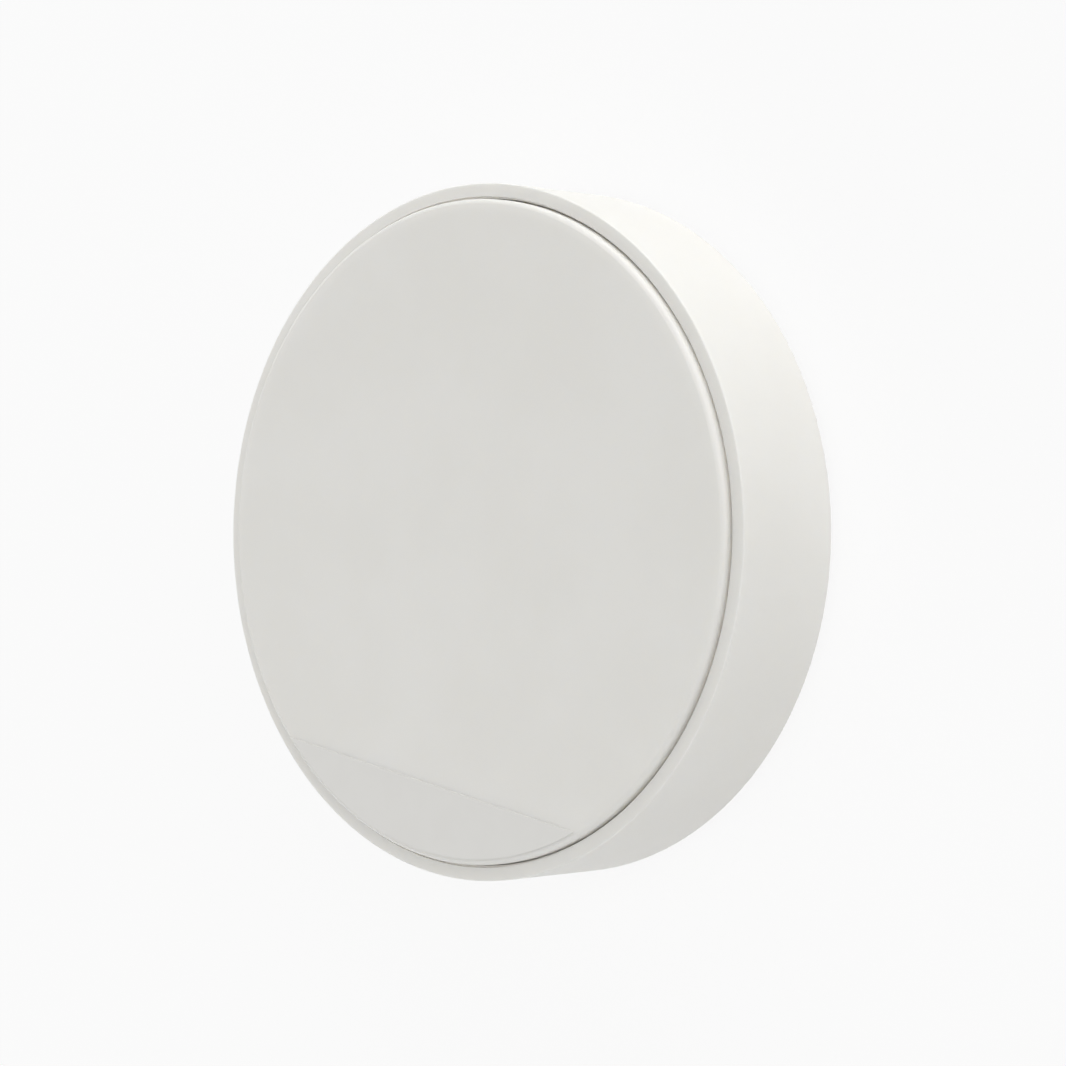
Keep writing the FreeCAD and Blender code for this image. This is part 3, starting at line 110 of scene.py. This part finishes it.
# Small parts, in metres: the cell's crimp, the board's pads and tracks, how high the lamp's
# lens begins and is whole, the antenna's end caps, and the capacitor's base and half-moon print
CRIMP_RADIUS = 0.0106
CRIMP_WIDTH = 0.00022
PAD_WIDTH = 0.0007
TRACK_HEIGHT = 0.00003
LENS_FOOT = 0.0004
LENS_WHOLE = 0.00055
END_CAP = 0.0007
CAN_BASE = 0.0008
CAN_BLUR = 0.00001
PRINT_OFFSET = 0.0011
PRINT_BLUR = 0.0001

ring_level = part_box("housing")[1].z


def node(tree, kind, inputs=None, **settings):
    """Shader node with its settings; an input takes a value or another node's socket."""
    made = tree.nodes.new(kind if kind.startswith("Node") else "ShaderNode" + kind)
    for name, value in settings.items():
        setattr(made, name, value)
    for name, value in (inputs or {}).items():
        if isinstance(value, bpy.types.NodeSocket):
            tree.links.new(value, made.inputs[name])
        else:
            made.inputs[name].default_value = value
    return made


def maths(tree, operation, *values):
    """Result of a sum on numbers or sockets, as a socket."""
    return node(tree, "Math", dict(enumerate(values)), operation=operation).outputs[0]


def ramp(tree, value, low, high, start=0.0, end=1.0):
    """Value between low and high spread over start to end, with soft ends."""
    inputs = {"Value": value, "From Min": low, "From Max": high, "To Min": start, "To Max": end}
    return node(tree, "MapRange", inputs, interpolation_type="SMOOTHSTEP").outputs["Result"]


def blend(tree, mask, first, second):
    """Colour between two colours."""
    mixed = node(tree, "Mix", {"Factor": mask}, data_type="RGBA")
    for place, colour in ((6, first), (7, second)):
        if isinstance(colour, bpy.types.NodeSocket):
            tree.links.new(colour, mixed.inputs[place])
        else:
            mixed.inputs[place].default_value = (*colour, 1.0)
    return mixed.outputs[2]


def place_of(tree):
    """Position on the object, in metres."""
    return node(tree, "TexCoord").outputs["Object"]


def parts_of(tree):
    """X, Y and Z of the position on the object, in metres."""
    return node(tree, "SeparateXYZ", {"Vector": place_of(tree)}).outputs


def noise(tree, scale, detail, distortion=0.0):
    """Soft noise over the object, about 0 to 1."""
    return node(tree, "TexNoise", {"Vector": place_of(tree), "Scale": scale, "Detail": detail,
                                   "Distortion": distortion}).outputs[0]


def drawn_noise(tree, turn, stretch, detail, distortion=0.0):
    """Noise drawn out one way, with its grain turned about the upright axis."""
    turned = node(tree, "VectorRotate", {"Vector": place_of(tree), "Angle": turn})
    drawn = node(tree, "VectorMath", {0: turned.outputs[0], 1: stretch}, operation="MULTIPLY")
    return node(tree, "TexNoise", {"Vector": drawn.outputs[0], "Scale": 1.0, "Detail": detail,
                                   "Distortion": distortion}).outputs[0]


def shifted(tree, value, mask, amount):
    """Value changed by an amount where the mask is 1."""
    return maths(tree, "ADD", value, maths(tree, "MULTIPLY", mask, amount))


def paler(colour, times, limit=1.0):
    """Colour made lighter, up to a limit."""
    return tuple(min(part * times, limit) for part in colour)


def begin_effect(name, inputs, outputs):
    """Empty shader group with number sockets; gives the tree and its input sockets."""
    tree = bpy.data.node_groups.new(name, "ShaderNodeTree")
    for label, value in inputs:
        socket = tree.interface.new_socket(label, in_out="INPUT", socket_type="NodeSocketFloat")
        socket.default_value = value
    for label in outputs:
        tree.interface.new_socket(label, in_out="OUTPUT", socket_type="NodeSocketFloat")
    return tree, node(tree, "NodeGroupInput").outputs


def end_effect(tree, results):
    """Join the results to the group's outputs."""
    node(tree, "NodeGroupOutput", results)
    return tree


def grain_effect():
    """Spark-eroded mould grain, with broad faint mottling."""
    tree, given = begin_effect("mould grain", [("Fineness", 5000.0)], ["Height", "Mottle"])
    pits = node(tree, "TexVoronoi", {"Vector": place_of(tree), "Scale": given["Fineness"]},
                feature="SMOOTH_F1").outputs[0]
    height = shifted(tree, noise(tree, given["Fineness"], 3.0), pits, 0.6)
    return end_effect(tree, {"Height": height, "Mottle": noise(tree, 70.0, 5.0)})


def hoop_effect():
    """Mask on a round band about the sensor's axis."""
    tree, given = begin_effect("hoop mask", [("Radius", 0.03), ("Width", 0.001)], ["Mask"])
    parts = parts_of(tree)
    squares = maths(tree, "ADD", maths(tree, "MULTIPLY", parts["X"], parts["X"]),
                    maths(tree, "MULTIPLY", parts["Y"], parts["Y"]))
    away = maths(tree, "ABSOLUTE", maths(tree, "SUBTRACT", maths(tree, "SQRT", squares),
                                         given["Radius"]))
    share = maths(tree, "DIVIDE", away, given["Width"])
    return end_effect(tree, {"Mask": ramp(tree, share, 1.0, 0.0)})


def worn_edge_effect():
    """Mask on outside edges, broken up along their length."""
    tree, given = begin_effect("worn edge", [("Width", 0.0003)], ["Mask"])
    softened = node(tree, "Bevel", {"Radius": given["Width"]}, samples=6)
    sharp = node(tree, "NewGeometry").outputs["Normal"]
    facing = node(tree, "VectorMath", {0: softened.outputs[0], 1: sharp},
                  operation="DOT_PRODUCT").outputs["Value"]
    edge = ramp(tree, facing, 0.995, 0.86)
    broken = ramp(tree, noise(tree, 900.0, 4.0), 0.35, 0.7)
    return end_effect(tree, {"Mask": maths(tree, "MULTIPLY", edge, broken)})


def turned_effect():
    """Fine round tool marks about an upright axis."""
    tree, given = begin_effect(
        "tool marks", [("Centre X", 0.0), ("Centre Y", 0.0), ("Lines", 9000.0)],
        ["Height", "Streak"])
    parts = parts_of(tree)
    across = maths(tree, "SUBTRACT", parts["X"], given["Centre X"])
    along = maths(tree, "SUBTRACT", parts["Y"], given["Centre Y"])
    radius = maths(tree, "SQRT", maths(tree, "ADD", maths(tree, "MULTIPLY", across, across),
                                       maths(tree, "MULTIPLY", along, along)))
    run = shifted(tree, radius, parts["Z"], 1.7)
    lines = node(tree, "TexNoise", {"W": maths(tree, "MULTIPLY", run, given["Lines"]),
                                    "Scale": 1.0, "Detail": 3.0},
                 noise_dimensions="1D").outputs[0]
    return end_effect(tree, {"Height": lines, "Streak": ramp(tree, lines, 0.35, 0.65)})


def scratch_effect():
    """Sparse hairlines in two directions."""
    tree, given = begin_effect("hairlines", [("Turn", 0.6), ("Density", 0.5)], ["Mask"])
    strokes = []
    for tilt, distortion in ((0.0, 0.0), (1.9, 0.15)):
        lines = drawn_noise(tree, maths(tree, "ADD", given["Turn"], tilt),
                            (9000.0, 160.0, 160.0), 1.0, distortion)
        strokes.append(ramp(tree, lines, 0.71, 0.78))
    found = maths(tree, "MAXIMUM", *strokes)
    return end_effect(tree, {"Mask": maths(tree, "MULTIPLY", found, given["Density"])})


GRAIN = grain_effect()
HOOP = hoop_effect()
WORN_EDGE = worn_edge_effect()
TURNED = turned_effect()
SCRATCHES = scratch_effect()


def effect(tree, group, **inputs):
    """Place a shared effect in a material with its own values."""
    placed = node(tree, "Group", node_tree=group)
    for name, value in inputs.items():
        placed.inputs[name.replace("_", " ")].default_value = value
    return placed.outputs


def begin_material(name, **values):
    """Material with one principled shader; gives the material, its tree and the shader."""
    material = bpy.data.materials.new(name)
    material.use_nodes = True
    tree = material.node_tree
    shader = tree.nodes["Principled BSDF"]
    for label, value in values.items():
        shader.inputs[label.replace("_", " ")].default_value = value
    return material, tree, shader


def feed(tree, shader, **sockets):
    """Join sockets to the shader's inputs of the same names."""
    for label, socket in sockets.items():
        tree.links.new(socket, shader.inputs[label.replace("_", " ")])


def bump(tree, shader, height, depth, strength):
    """Raise the surface by a height of 0 to 1 times a depth in metres."""
    raised = node(tree, "Bump", {"Height": height, "Distance": depth, "Strength": strength})
    feed(tree, shader, Normal=raised.outputs[0])


def groove_painted_light_mask(tree):
    """Mask on the walls of the groove round the cover, where a paler colour is painted on as
    painted light to lift the groove's shade.
    """
    height = parts_of(tree)["Z"]
    band = effect(tree, HOOP, Radius=GROOVE_RADIUS, Width=GROOVE_REACH)["Mask"]
    above = ramp(tree, height, ring_level - GROOVE_END, ring_level - GROOVE_FOOT)
    below = ramp(tree, height, ring_level, ring_level - GROOVE_LIP)
    return maths(tree, "MULTIPLY", band, maths(tree, "MULTIPLY", above, below))


def moulded_material(name, colour, dull, fineness, depth, roughness, glow):
    """Matt moulded plastic: eroded grain, faint mottling and paler rubbed edges, with painted
    light on the groove walls round the cover, which are painted paler.
    """
    material, tree, shader = begin_material(
        name, IOR=1.46, Specular_IOR_Level=0.4, Subsurface_Weight=glow,
        Subsurface_Radius=(1.0, 0.95, 0.85), Subsurface_Scale=0.0012)
    grain = effect(tree, GRAIN, Fineness=fineness)
    rub = effect(tree, WORN_EDGE, Width=0.00015)["Mask"]
    body = blend(tree, ramp(tree, grain["Mottle"], 0.35, 0.65), colour, dull)
    worn = blend(tree, rub, body, paler(colour, 1.03, limit=0.88))
    matt = ramp(tree, grain["Height"], 0.4, 1.0, roughness, roughness + 0.1)
    # Painted light: the groove's walls are painted paler than the plastic, so the groove shows
    # less shade
    feed(tree, shader, Base_Color=blend(tree, groove_painted_light_mask(tree), worn, GROOVE_PAINTED_LIGHT),
         Roughness=shifted(tree, matt, rub, -0.08))
    bump(tree, shader, grain["Height"], depth, 0.5)
    return material


def film_material():
    """Clear satin film wetted onto the cover: its plastic seen through a thin veil."""
    material, tree, shader = begin_material("clear film", IOR=1.5)
    haze = noise(tree, 260.0, 4.0)
    marks = effect(tree, SCRATCHES, Turn=0.9, Density=0.4)["Mask"]
    body = blend(tree, ramp(tree, haze, 0.35, 0.65), FILM, FILM_DULL)
    rough = shifted(tree, ramp(tree, haze, 0.3, 0.7, 0.3, 0.36), marks, 0.1)
    feed(tree, shader, Base_Color=body, Roughness=rough)
    bump(tree, shader, haze, 0.000006, 0.4)
    return material


def silicone_material():
    """Translucent silicone, cloudy, with a fine grain."""
    material, tree, shader = begin_material(
        "clear silicone", IOR=1.41, Transmission_Weight=0.55, Subsurface_Weight=0.3,
        Subsurface_Scale=0.001)
    cloud = noise(tree, 420.0, 4.0)
    body = blend(tree, ramp(tree, cloud, 0.35, 0.7), (0.84, 0.85, 0.84), (0.76, 0.77, 0.76))
    feed(tree, shader, Base_Color=body, Roughness=ramp(tree, cloud, 0.3, 0.7, 0.28, 0.45))
    bump(tree, shader, effect(tree, GRAIN, Fineness=3600.0)["Height"], 0.000008, 0.4)
    return material


def rubber_material():
    """Black seal rubber with a grey bloom and a fine grain."""
    material, tree, shader = begin_material("seal rubber", IOR=1.5)
    grain = effect(tree, GRAIN, Fineness=2600.0)
    bloom = ramp(tree, grain["Mottle"], 0.42, 0.7)
    body = blend(tree, bloom, (0.022, 0.022, 0.024), (0.062, 0.062, 0.064))
    rough = ramp(tree, grain["Mottle"], 0.3, 0.7, 0.5, 0.72)
    feed(tree, shader, Base_Color=body, Roughness=rough)
    bump(tree, shader, grain["Height"], 0.00001, 0.6)
    return material


def machined_material(name, colour, dark, centre, lines, roughness):
    """Turned metal about an upright axis, with tool marks, stains and bright edges."""
    material, tree, shader = begin_material(name, Metallic=1.0)
    marks = effect(tree, TURNED, Centre_X=centre[0], Centre_Y=centre[1], Lines=lines)
    stain = noise(tree, 900.0, 4.0)
    worn = effect(tree, WORN_EDGE, Width=0.00012)["Mask"]
    body = blend(tree, ramp(tree, stain, 0.4, 0.75), colour, dark)
    rough = shifted(tree, ramp(tree, stain, 0.3, 0.7, roughness, roughness + 0.08),
                    marks["Streak"], 0.07)
    feed(tree, shader, Base_Color=blend(tree, worn, body, paler(colour, 1.12, limit=0.95)),
         Roughness=rough)
    bump(tree, shader, marks["Height"], 0.000004, 0.5)
    return material


def sheet_material(name, colour, dark, turn, roughness):
    """Plated sheet metal, rolled one way, with hairlines and thin tarnish."""
    material, tree, shader = begin_material(name, Metallic=1.0)
    rolled = drawn_noise(tree, turn, (300.0, 9000.0, 9000.0), 2.0)
    tarnish = noise(tree, 320.0, 5.0)
    hairlines = effect(tree, SCRATCHES, Turn=turn + 0.5, Density=0.6)["Mask"]
    body = blend(tree, ramp(tree, tarnish, 0.42, 0.72), colour, dark)
    rough = shifted(tree, ramp(tree, rolled, 0.3, 0.7, roughness, roughness + 0.14),
                    hairlines, 0.2)
    feed(tree, shader, Base_Color=body, Roughness=rough)
    bump(tree, shader, rolled, 0.000003, 0.5)
    return material


def black_plastic_material(name, colour, pale, fineness):
    """Glass-filled nylon: dark, with swirls of filler and a rough grain."""
    material, tree, shader = begin_material(name, IOR=1.53)
    grain = effect(tree, GRAIN, Fineness=fineness)
    worn = effect(tree, WORN_EDGE, Width=0.00012)["Mask"]
    body = blend(tree, ramp(tree, grain["Mottle"], 0.45, 0.75), colour, pale)
    feed(tree, shader, Base_Color=blend(tree, worn, body, paler(pale, 2.2)),
         Roughness=ramp(tree, grain["Height"], 0.4, 1.1, 0.38, 0.58))
    bump(tree, shader, grain["Height"], 0.000008, 0.6)
    return material


def cell_material():
    """Nickel plated coin cell: circular brushing, crimped rim and finger marks."""
    material, tree, shader = begin_material("nickel plate", Metallic=1.0)
    marks = effect(tree, TURNED, Lines=16000.0)
    smear = noise(tree, 190.0, 5.0, distortion=1.2)
    rim = effect(tree, HOOP, Radius=CRIMP_RADIUS, Width=CRIMP_WIDTH)["Mask"]
    body = blend(tree, ramp(tree, smear, 0.45, 0.7), (0.66, 0.65, 0.62), (0.56, 0.55, 0.52))
    rough = shifted(tree, ramp(tree, smear, 0.35, 0.7, 0.24, 0.4), marks["Streak"], 0.08)
    feed(tree, shader, Base_Color=blend(tree, rim, body, (0.2, 0.2, 0.2)), Roughness=rough)
    bump(tree, shader, marks["Height"], 0.000004, 0.5)
    return material


def board_material(name, mask_colour, dark, pads):
    """Solder mask over raised tracks, a ring of tinned pads, and the main board's woven edge."""
    material, tree, shader = begin_material(name, IOR=1.5)
    low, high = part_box("circuit_board")
    tracks = node(tree, "TexBrick", {
        "Vector": place_of(tree), "Scale": 95.0, "Mortar Size": 0.03, "Mortar Smooth": 0.1,
        "Brick Width": 0.62, "Row Height": 0.27}, offset=0.37).outputs["Fac"]
    pours = ramp(tree, noise(tree, 120.0, 0.0), 0.52, 0.54)
    raised = maths(tree, "MAXIMUM", maths(tree, "SUBTRACT", 1.0, tracks), pours)
    surface = blend(tree, raised, dark, mask_colour)
    weave = node(tree, "TexWave", {"Vector": place_of(tree), "Scale": 900.0, "Distortion": 1.5},
                 bands_direction="Z").outputs["Fac"]
    laminate = blend(tree, weave, (0.36, 0.31, 0.15), (0.48, 0.43, 0.24))
    height = parts_of(tree)["Z"]
    into = maths(tree, "MINIMUM", maths(tree, "SUBTRACT", height, low.z),
                 maths(tree, "SUBTRACT", high.z, height))
    skin = (high.z - low.z) * BOARD_SKIN
    core = ramp(tree, into, skin, skin * 2.0)
    tinned = effect(tree, HOOP, Radius=pads, Width=PAD_WIDTH)["Mask"]
    dressed = blend(tree, tinned, surface, (0.74, 0.72, 0.66))
    feed(tree, shader, Base_Color=blend(tree, core, dressed, laminate),
         Metallic=maths(tree, "MULTIPLY", tinned, maths(tree, "SUBTRACT", 1.0, core)),
         Roughness=ramp(tree, core, 0.0, 1.0, 0.22, 0.7))
    bump(tree, shader, raised, TRACK_HEIGHT, 0.6)
    return material


def lamp_material():
    """Indicator lamp: white housing below, clear yellow lens above."""
    material, tree, shader = begin_material("lamp lens", IOR=1.5, Subsurface_Weight=0.4,
                                            Subsurface_Scale=0.0005)
    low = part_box("status_led")[0].z
    lens = ramp(tree, parts_of(tree)["Z"], low + LENS_FOOT, low + LENS_WHOLE)
    speck = noise(tree, 4000.0, 2.0)
    body = blend(tree, speck, (0.82, 0.82, 0.8), (0.72, 0.72, 0.7))
    phosphor = blend(tree, speck, (0.9, 0.84, 0.5), (0.84, 0.74, 0.34))
    feed(tree, shader, Base_Color=blend(tree, lens, body, phosphor),
         Roughness=ramp(tree, lens, 0.0, 1.0, 0.5, 0.12))
    return material


def ceramic_material():
    """Fired ceramic with silver end caps."""
    material, tree, shader = begin_material("antenna ceramic", IOR=1.6)
    low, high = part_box("chip_antenna")
    middle = (high.y + low.y) / 2
    caps = (high.y - low.y) / 2 - END_CAP
    away = maths(tree, "ABSOLUTE", maths(tree, "SUBTRACT", parts_of(tree)["Y"], middle))
    silver = ramp(tree, away, caps, caps + PRINT_BLUR)
    speck = noise(tree, 2600.0, 4.0)
    fired = blend(tree, ramp(tree, speck, 0.4, 0.7), (0.78, 0.76, 0.70), (0.68, 0.65, 0.58))
    feed(tree, shader, Base_Color=blend(tree, silver, fired, (0.76, 0.74, 0.7)),
         Metallic=silver, Roughness=ramp(tree, speck, 0.3, 0.7, 0.42, 0.6))
    bump(tree, shader, speck, 0.00001, 0.4)
    return material


def capacitor_material():
    """Drawn aluminium can with a dark half-moon print, on a black base."""
    material, tree, shader = begin_material("drawn aluminium")
    low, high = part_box("reservoir_capacitor")
    parts = parts_of(tree)
    can_top = high.z - CAN_BASE
    can = ramp(tree, parts["Z"], can_top + CAN_BLUR, can_top - CAN_BLUR)
    print_edge = (low.x + high.x) / 2 + PRINT_OFFSET
    printed = maths(tree, "MULTIPLY", ramp(tree, parts["X"], print_edge, print_edge + PRINT_BLUR),
                    ramp(tree, parts["Z"], low.z + 2 * PRINT_BLUR, low.z + PRINT_BLUR))
    brushed = noise(tree, 2200.0, 3.0)
    metal = blend(tree, brushed, (0.76, 0.77, 0.79), (0.66, 0.67, 0.69))
    body = blend(tree, printed, metal, (0.03, 0.03, 0.035))
    feed(tree, shader, Base_Color=blend(tree, can, (0.025, 0.025, 0.027), body),
         Metallic=maths(tree, "MULTIPLY", can, maths(tree, "SUBTRACT", 1.0, printed)),
         Roughness=ramp(tree, brushed, 0.3, 0.7, 0.3, 0.46))
    bump(tree, shader, brushed, 0.000005, 0.4)
    return material


def named(start):
    """Names of the nodes that begin alike, in order."""
    return sorted(name for name in nodes if name.startswith(start))


def dress(finish, *names):
    """Give CAD nodes a finish."""
    for name in names:
        for slot in nodes[name].material_slots:
            slot.material = finish


def smooth_step(value, low, high):
    """0 below low, 1 above high, with an even curve between them."""
    share = min(max((value - low) / (high - low), 0.0), 1.0)
    return share * share * (3.0 - 2.0 * share)


def membrane_profile(outer, pad_top, stem_foot):
    """Radius and height of the membrane's section, from the middle of its top round."""
    rings = 44
    radii = [outer * step / rings for step in range(rings)]
    thickness = WEB_TOP - WEB_UNDER

    def roll(radius):
        """Rise of the soft roll round the pad."""
        away = min(abs(radius - ROLL_CIRCLE) / ROLL_HALF, 1.0)
        return ROLL_HEIGHT * 0.5 * (1.0 + math.cos(math.pi * away))

    top = []
    under = []
    for radius in radii:
        pad = 1.0 - smooth_step(radius, PAD_TOP_RADIUS, PAD_FOOT_RADIUS)
        stem = 1.0 - smooth_step(radius, STEM_RADIUS - STEM_FILLET, STEM_RADIUS)
        top.append((radius, WEB_TOP + roll(radius) + pad * (pad_top - WEB_TOP)))
        under.append((radius, WEB_UNDER + roll(radius) + stem * (stem_foot - WEB_UNDER)))
    bends = 6
    edge = []
    for step in range(bends + 1):
        turn = math.pi * (0.5 - step / bends)
        edge.append((outer - thickness / 2 * (1.0 - math.cos(turn)),
                     (WEB_TOP + WEB_UNDER) / 2 + thickness / 2 * math.sin(turn)))
    top = [point for point in top if point[0] < edge[0][0]]
    under = [point for point in under if point[0] < edge[0][0]]
    return top + edge + under[::-1]


def ring_of_points(mesh, radius, height):
    """Mesh points evenly round the sensor's axis, or the one point that lies on it."""
    if radius == 0.0:
        return [mesh.verts.new((0.0, 0.0, height))]
    turns = [2 * math.pi * step / AROUND for step in range(AROUND)]
    return [mesh.verts.new((radius * math.cos(turn), radius * math.sin(turn), height))
            for turn in turns]


def join_rings(mesh, rings):
    """Faces between rings of points that follow each other; a ring of one point is a tip."""
    for inner, outer in zip(rings, rings[1:]):
        for step in range(AROUND):
            follower = (step + 1) % AROUND
            if len(inner) == 1:
                mesh.faces.new((inner[0], outer[step], outer[follower]))
            elif len(outer) == 1:
                mesh.faces.new((inner[step], outer[0], inner[follower]))
            else:
                mesh.faces.new((inner[step], outer[step], outer[follower], inner[follower]))


def finish_mesh(mesh, name, material):
    """Object in the scene with this mesh and material."""
    data = bpy.data.meshes.new(name)
    mesh.to_mesh(data)
    mesh.free()
    data.materials.append(material)
    piece = bpy.data.objects.new(name, data)
    bpy.context.scene.collection.objects.link(piece)
    return piece


def make_membrane():
    """Silicone membrane over the switch, turned from its section and squeezed by the cover."""
    low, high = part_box("button_membrane")
    profile = membrane_profile(high.x, high.z, low.z)
    mesh = bmesh.new()
    join_rings(mesh, [ring_of_points(mesh, radius, height) for radius, height in profile])
    for face in mesh.faces:
        face.smooth = True
    piece = finish_mesh(mesh, "press_membrane", silicone_material())
    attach(piece, "case")
    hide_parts("button_membrane")
    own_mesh(piece)


def seen_plainly(tree):
    """1 for rays that show the studio itself: from the camera, a mirror or glass."""
    rays = node(tree, "LightPath").outputs
    return maths(tree, "MAXIMUM", rays["Is Camera Ray"],
                 maths(tree, "MAXIMUM", rays["Is Glossy Ray"], rays["Is Transmission Ray"]))


def ground_material():
    """Pale cloth that shows plain white, clear from below."""
    material = bpy.data.materials.new("ground")
    material.use_nodes = True
    tree = material.node_tree
    tree.nodes.clear()
    cloth = node(tree, "BsdfDiffuse", {"Color": (*GROUND_CLOTH, 1.0)})
    glow = node(tree, "Emission", {"Color": (*GROUND_WHITE, 1.0), "Strength": 1.0})
    top = node(tree, "MixShader", {0: maths(tree, "MULTIPLY", seen_plainly(tree), GROUND_GLOW),
                                   1: cloth.outputs[0], 2: glow.outputs[0]})
    clear = node(tree, "BsdfTransparent")
    under = node(tree, "NewGeometry").outputs["Backfacing"]
    both = node(tree, "MixShader", {0: under, 1: top.outputs[0], 2: clear.outputs[0]})
    node(tree, "OutputMaterial", {"Surface": both.outputs[0]})
    return material


def make_ground():
    """Pale floor with a round opening under the sensor."""
    mesh = bmesh.new()
    join_rings(mesh, [ring_of_points(mesh, radius, 0.0)
                      for radius in (GROUND_WINDOW, GROUND_NEAR, GROUND_FAR)])
    ground = finish_mesh(mesh, "ground", ground_material())


def make_sky():
    """Studio light: faint overhead, plain from below, with broad soft lights all round."""
    world = bpy.data.worlds.new("studio")
    bpy.context.scene.world = world
    world.use_nodes = True
    tree = world.node_tree
    tree.nodes.clear()
    towards = node(tree, "TexCoord").outputs["Generated"]
    height = node(tree, "SeparateXYZ", {"Vector": towards}).outputs["Z"]
    level = maths(tree, "MULTIPLY", maths(tree, "ABSOLUTE", height),
                  ramp(tree, height, -HORIZON_BLUR, HORIZON_BLUR, SKY_NADIR, SKY_ZENITH))
    for azimuth, elevation, strength in SOFT_LIGHTS:
        turn, lift = math.radians(azimuth), math.radians(elevation)
        source = (math.cos(turn) * math.cos(lift), math.sin(turn) * math.cos(lift),
                  math.sin(lift))
        facing = node(tree, "VectorMath", {0: towards, 1: source},
                      operation="DOT_PRODUCT").outputs["Value"]
        lobe = maths(tree, "POWER", maths(tree, "MAXIMUM", facing, 0.0), SOFT_LIGHT_TIGHTNESS)
        level = shifted(tree, level, lobe, strength)
    light = node(tree, "Background", {"Color": (1.0, 1.0, 1.0, 1.0), "Strength": level})
    white = node(tree, "Background", {"Color": (*SKY_WHITE, 1.0), "Strength": 1.0})
    both = node(tree, "MixShader", {0: seen_plainly(tree), 1: light.outputs[0],
                                    2: white.outputs[0]})
    node(tree, "OutputWorld", {"Surface": both.outputs[0]})


def make_camera():
    """Camera of the photograph, from where its ring face lies in the frame."""
    data = bpy.data.cameras.new("camera")
    data.sensor_width = SENSOR_WIDTH
    data.lens = LENS
    data.clip_start = 0.01
    camera = bpy.data.objects.new("camera", data)
    bpy.context.scene.collection.objects.link(camera)
    turn = (Matrix.Rotation(math.radians(SWING), 3, "Y")
            @ Matrix.Rotation(math.radians(TILT), 3, "X")
            @ Matrix.Rotation(math.radians(ROLL), 3, "Z"))
    focal = LENS / SENSOR_WIDTH * IMAGE_SIDE
    across = (RING_PIXEL[0] - IMAGE_SIDE / 2) / focal
    down = (RING_PIXEL[1] - IMAGE_SIDE / 2) / focal
    ring = Vector((across, -down, -1.0)) * RING_DEPTH
    back = turn.transposed()
    camera.matrix_world = (Matrix.Translation(Vector((0, 0, ring_level)) - back @ ring)
                           @ back.to_4x4())
    bpy.context.scene.camera = camera


def dress_case():
    """Plastics of the case, the cover, the base plate and the battery door."""
    dress(moulded_material("case plastic", SHELL, SHELL_DULL, fineness=5200.0,
                           depth=0.000012, roughness=0.44, glow=0.4), "housing")
    dress(moulded_material("cover plastic", SHELL, SHELL_DULL, fineness=5600.0,
                           depth=0.00001, roughness=0.42, glow=0.4), "front_cover")
    dress(moulded_material("base plastic", BASE, BASE_DULL, fineness=3200.0,
                           depth=0.00003, roughness=0.55, glow=0.15), "base_plate")
    dress(moulded_material("door plastic", BASE, BASE_DULL, fineness=4200.0,
                           depth=0.00002, roughness=0.5, glow=0.15), "battery_door")
    dress(film_material(), "label_film")
    dress(rubber_material(), "door_seal", "case_seal", *named("probe_seal"))


def dress_metal():
    """Probes, spacers, screws, contacts, coin cell and shield."""
    for stud, spacer in zip(named("probe_stud"), named("probe_spacer")):
        low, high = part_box(stud)
        centre = ((low.x + high.x) / 2, (low.y + high.y) / 2)
        dress(machined_material("steel of " + stud, (0.72, 0.72, 0.71), (0.6, 0.6, 0.59),
                                centre, lines=11000.0, roughness=0.16), stud)
        dress(machined_material("brass of " + spacer, (0.76, 0.56, 0.27), (0.6, 0.42, 0.2),
                                centre, lines=6000.0, roughness=0.28), spacer)
    dress(sheet_material("zinc plate", (0.62, 0.63, 0.65), (0.5, 0.5, 0.49),
                         turn=0.4, roughness=0.28), "case_screws")
    dress(sheet_material("tin plate", (0.74, 0.73, 0.7), (0.6, 0.58, 0.54),
                         turn=0.0, roughness=0.22), "positive_contact", "negative_contact")
    dress(sheet_material("tinned shield", (0.72, 0.72, 0.71), (0.58, 0.57, 0.54),
                         turn=1.57, roughness=0.3), "module_shield")
    dress(cell_material(), "coin_cell")


def dress_electronics():
    """Boards, switch, holder, lamp, antenna and capacitor."""
    dress(board_material("green laminate", (0.02, 0.19, 0.08), (0.012, 0.13, 0.055),
                         pads=0.0282), "circuit_board")
    dress(board_material("blue laminate", (0.02, 0.06, 0.16), (0.015, 0.04, 0.11),
                         pads=0.0268), "radio_module")
    dress(black_plastic_material("switch plastic", (0.022, 0.022, 0.024),
                                 (0.04, 0.04, 0.042), fineness=5200.0), "switch_body")
    dress(black_plastic_material("plunger plastic", (0.1, 0.1, 0.105),
                                 (0.14, 0.14, 0.145), fineness=6000.0), "switch_plunger")
    dress(black_plastic_material("holder plastic", (0.02, 0.02, 0.021),
                                 (0.045, 0.044, 0.042), fineness=3000.0), "battery_holder")
    dress(lamp_material(), "status_led")
    dress(ceramic_material(), "chip_antenna")
    dress(capacitor_material(), "reservoir_capacitor")


dress_case()
dress_metal()
dress_electronics()
make_membrane()
make_ground()
make_sky()
make_camera()
bpy.context.scene.view_settings.view_transform = "Standard"
